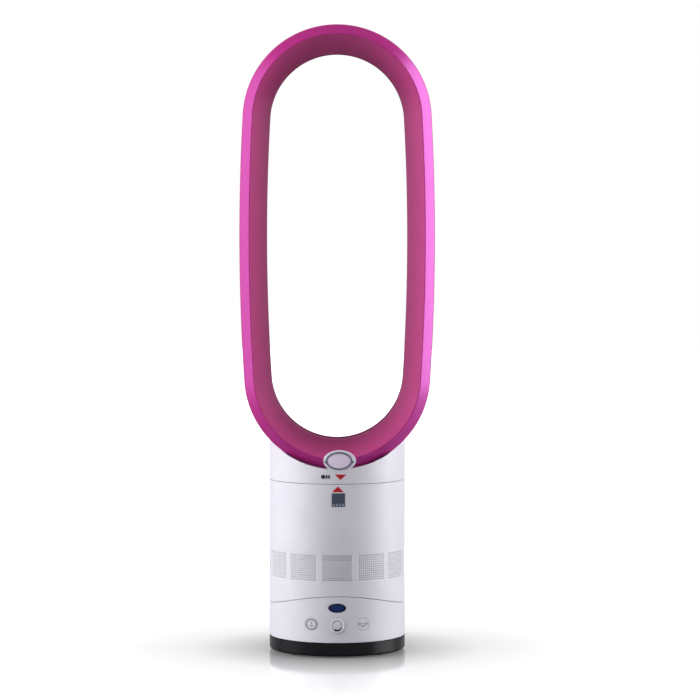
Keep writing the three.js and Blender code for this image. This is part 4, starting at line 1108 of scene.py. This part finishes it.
makePiece("badgeRing", badgeRingSheet(), "badgeGrey", "loop", 45, "badge_ring")
hx, hz = badge["ring"][0] - badge["line"] + 0.1, badge["ring"][1] - badge["line"] + 0.1
edge, rise = badge["dome"]
faceRings = [curvedRing(badge["x"], badge["z"], hx * s, hz * s, -edge - rise * (1 - s * s))
             for s in (0.1, 0.3, 0.5, 0.7, 0.85, 1.0)]
faceRings.append(curvedRing(badge["x"], badge["z"], hx, hz, 0.5))
makePiece("badgeFace", ringStack(faceRings, 96), "badgeFace", "loop", 45, "badge_plate")
print("marks and badge made")


# the pieces inside and below keep their CAD shape and get their finish
insideFinishes = {
    "acetalPlastic": ("ring_gear", "glide_ring", "drive_pinion"),
    "steelFinish": ("gear_screw_1", "gear_screw_2", "gear_screw_3", "pivot_post", "pivot_clip",
                    "inlet_pin_1", "inlet_pin_2", "oscillation_motor", "guide_stud_1", "guide_stud_2",
                    "rotor_shaft", "lower_bearing", "upper_bearing", "loop_screw_1", "loop_screw_2"),
    "greyPlastic": ("turntable_plate", "tilt_cradle", "speed_encoder", "tilt_shoe", "impeller_shroud",
                    "motor_bucket", "motor_cap", "diffuser", "air_duct", "bayonet_ring", "impeller"),
    "blackPlastic": ("power_switch", "oscillation_switch", "ir_receiver", "capacitor"),
    "boardFinish": ("control_board", "power_board", "motor_board"),
    "windingFinish": ("transformer", "motor_stator"),
    "magnetFinish": ("rotor_magnet",),
    "rubberFinish": ("motor_mount", "duct_seal"),
    "foamFinish": ("foam_ring",),
}
for finish, names in insideFinishes.items():
    for name in names:
        for holder in cadNodes[name].material_slots:
            holder.material = finishes[finish]
print("inside pieces finished")


# studio: pale floor, softboxes at both sides and above, a weak front fill
studio = {
    "ambient": 0.1, "overhead": 0.3, "horizon": (0.85, 0.55), "aimHeight": 0.48,
    "floorColor": (160, 160, 163), "floorShade": (156, 156, 159), "floorHaze": 180, "floorRough": 0.1,
    # floorGlow over glowReach keeps the camera-only glow low near the fan, a painted shadow
    "floorIor": 1.8, "floorGlow": (0.1, 0.42, 1.02), "glowReach": (0.1, 0.2, 0.75), "floorLevel": -0.02,
}
softboxes = {
    "left": {"place": (-2.1, -0.5, 0.95), "size": (1.7, 2.7), "power": 56.0, "glossy": False},
    "leftSheen": {"place": (-2.1, -0.3, 0.95), "size": (1.7, 2.7), "power": 18.0, "glossy": True},
    "right": {"place": (2.1, -0.1, 0.95), "size": (1.7, 2.7), "power": 62.0, "glossy": True},
    "front": {"place": (0.2, -3.4, 2.0), "size": (2.4, 1.6), "power": 4.0, "glossy": False},
    "top": {"place": (0.0, -0.6, 3.0), "size": (3.0, 3.0), "power": 26.0, "glossy": False},
}


for name, spec in softboxes.items():
    lamp = bpy.data.lights.new(name + "Softbox", "AREA")
    lamp.shape = "RECTANGLE"
    lamp.size, lamp.size_y = spec["size"]
    lamp.energy = spec["power"]
    box = bpy.data.objects.new(name + "Softbox", lamp)
    box.location = spec["place"]
    box.visible_glossy = spec["glossy"]
    aim = Vector((0, 0, studio["aimHeight"])) - Vector(spec["place"])
    box.rotation_euler = aim.to_track_quat("-Z", "Y").to_euler()
    scene.collection.objects.link(box)

world = bpy.data.worlds.new("studioWorld")
scene.world = world
world.use_nodes = True
sky = world.node_tree
background = next(n for n in sky.nodes if n.type == "BACKGROUND")
rays = addNode(sky, "LightPath")
heading = addNode(sky, "TexCoord")
axes = addNode(sky, "SeparateXYZ", {"Vector": heading.outputs["Generated"]})
low, high = studio["horizon"]
mirrored = spread(sky, axes.outputs["Z"], low, studio["overhead"], 0.0, high)
strength = blendOf(sky, rays.outputs["Is Transmission Ray"], studio["ambient"], 1.0, "FLOAT")
strength = blendOf(sky, rays.outputs["Is Glossy Ray"], strength, mirrored, "FLOAT")
strength = blendOf(sky, rays.outputs["Is Camera Ray"], strength, 1.0, "FLOAT")
setInputs(sky, background, {"Strength": strength, "Color": (1, 1, 1, 1)})


# the floor glows towards white away from the fan, for the camera only; the weaker glow close to the fan is a
# painted shadow round its foot
def floorFinish():
    material, tree, shader, place = newFinish("paleFloor")
    haze = spread(tree, addNoise(tree, place, studio["floorHaze"]), 0, 1)
    distance = addNode(tree, "VectorMath", {0: place}, operation="LENGTH").outputs["Value"]
    near, middle, far = studio["glowReach"]
    low, soft, full = studio["floorGlow"]
    glow = mathOf(tree, "ADD", spread(tree, distance, low, soft, near, middle),
                  spread(tree, distance, 0.0, full - soft, middle, far))
    seen = addNode(tree, "LightPath").outputs["Is Camera Ray"]
    setInputs(tree, shader, {
        "Base Color": blendOf(tree, haze, linear(studio["floorColor"]), linear(studio["floorShade"])),
        "Roughness": studio["floorRough"], "IOR": studio["floorIor"], "Emission Color": (1, 1, 1, 1),
        "Emission Strength": mathOf(tree, "MULTIPLY", glow, seen)})
    return material


floorSheet = turnedSheet([(r, studio["floorLevel"]) for r in (0, 300, 900, 2500, 9000)], 96)
floorMesh = bpy.data.meshes.new("studioFloor")
floorMesh.from_pydata([Vector(p) * mm for p in floorSheet.points], [], floorSheet.faces)
floorMesh.materials.append(floorFinish())
floor = bpy.data.objects.new("studioFloor", floorMesh)
scene.collection.objects.link(floor)
print("studio lit")
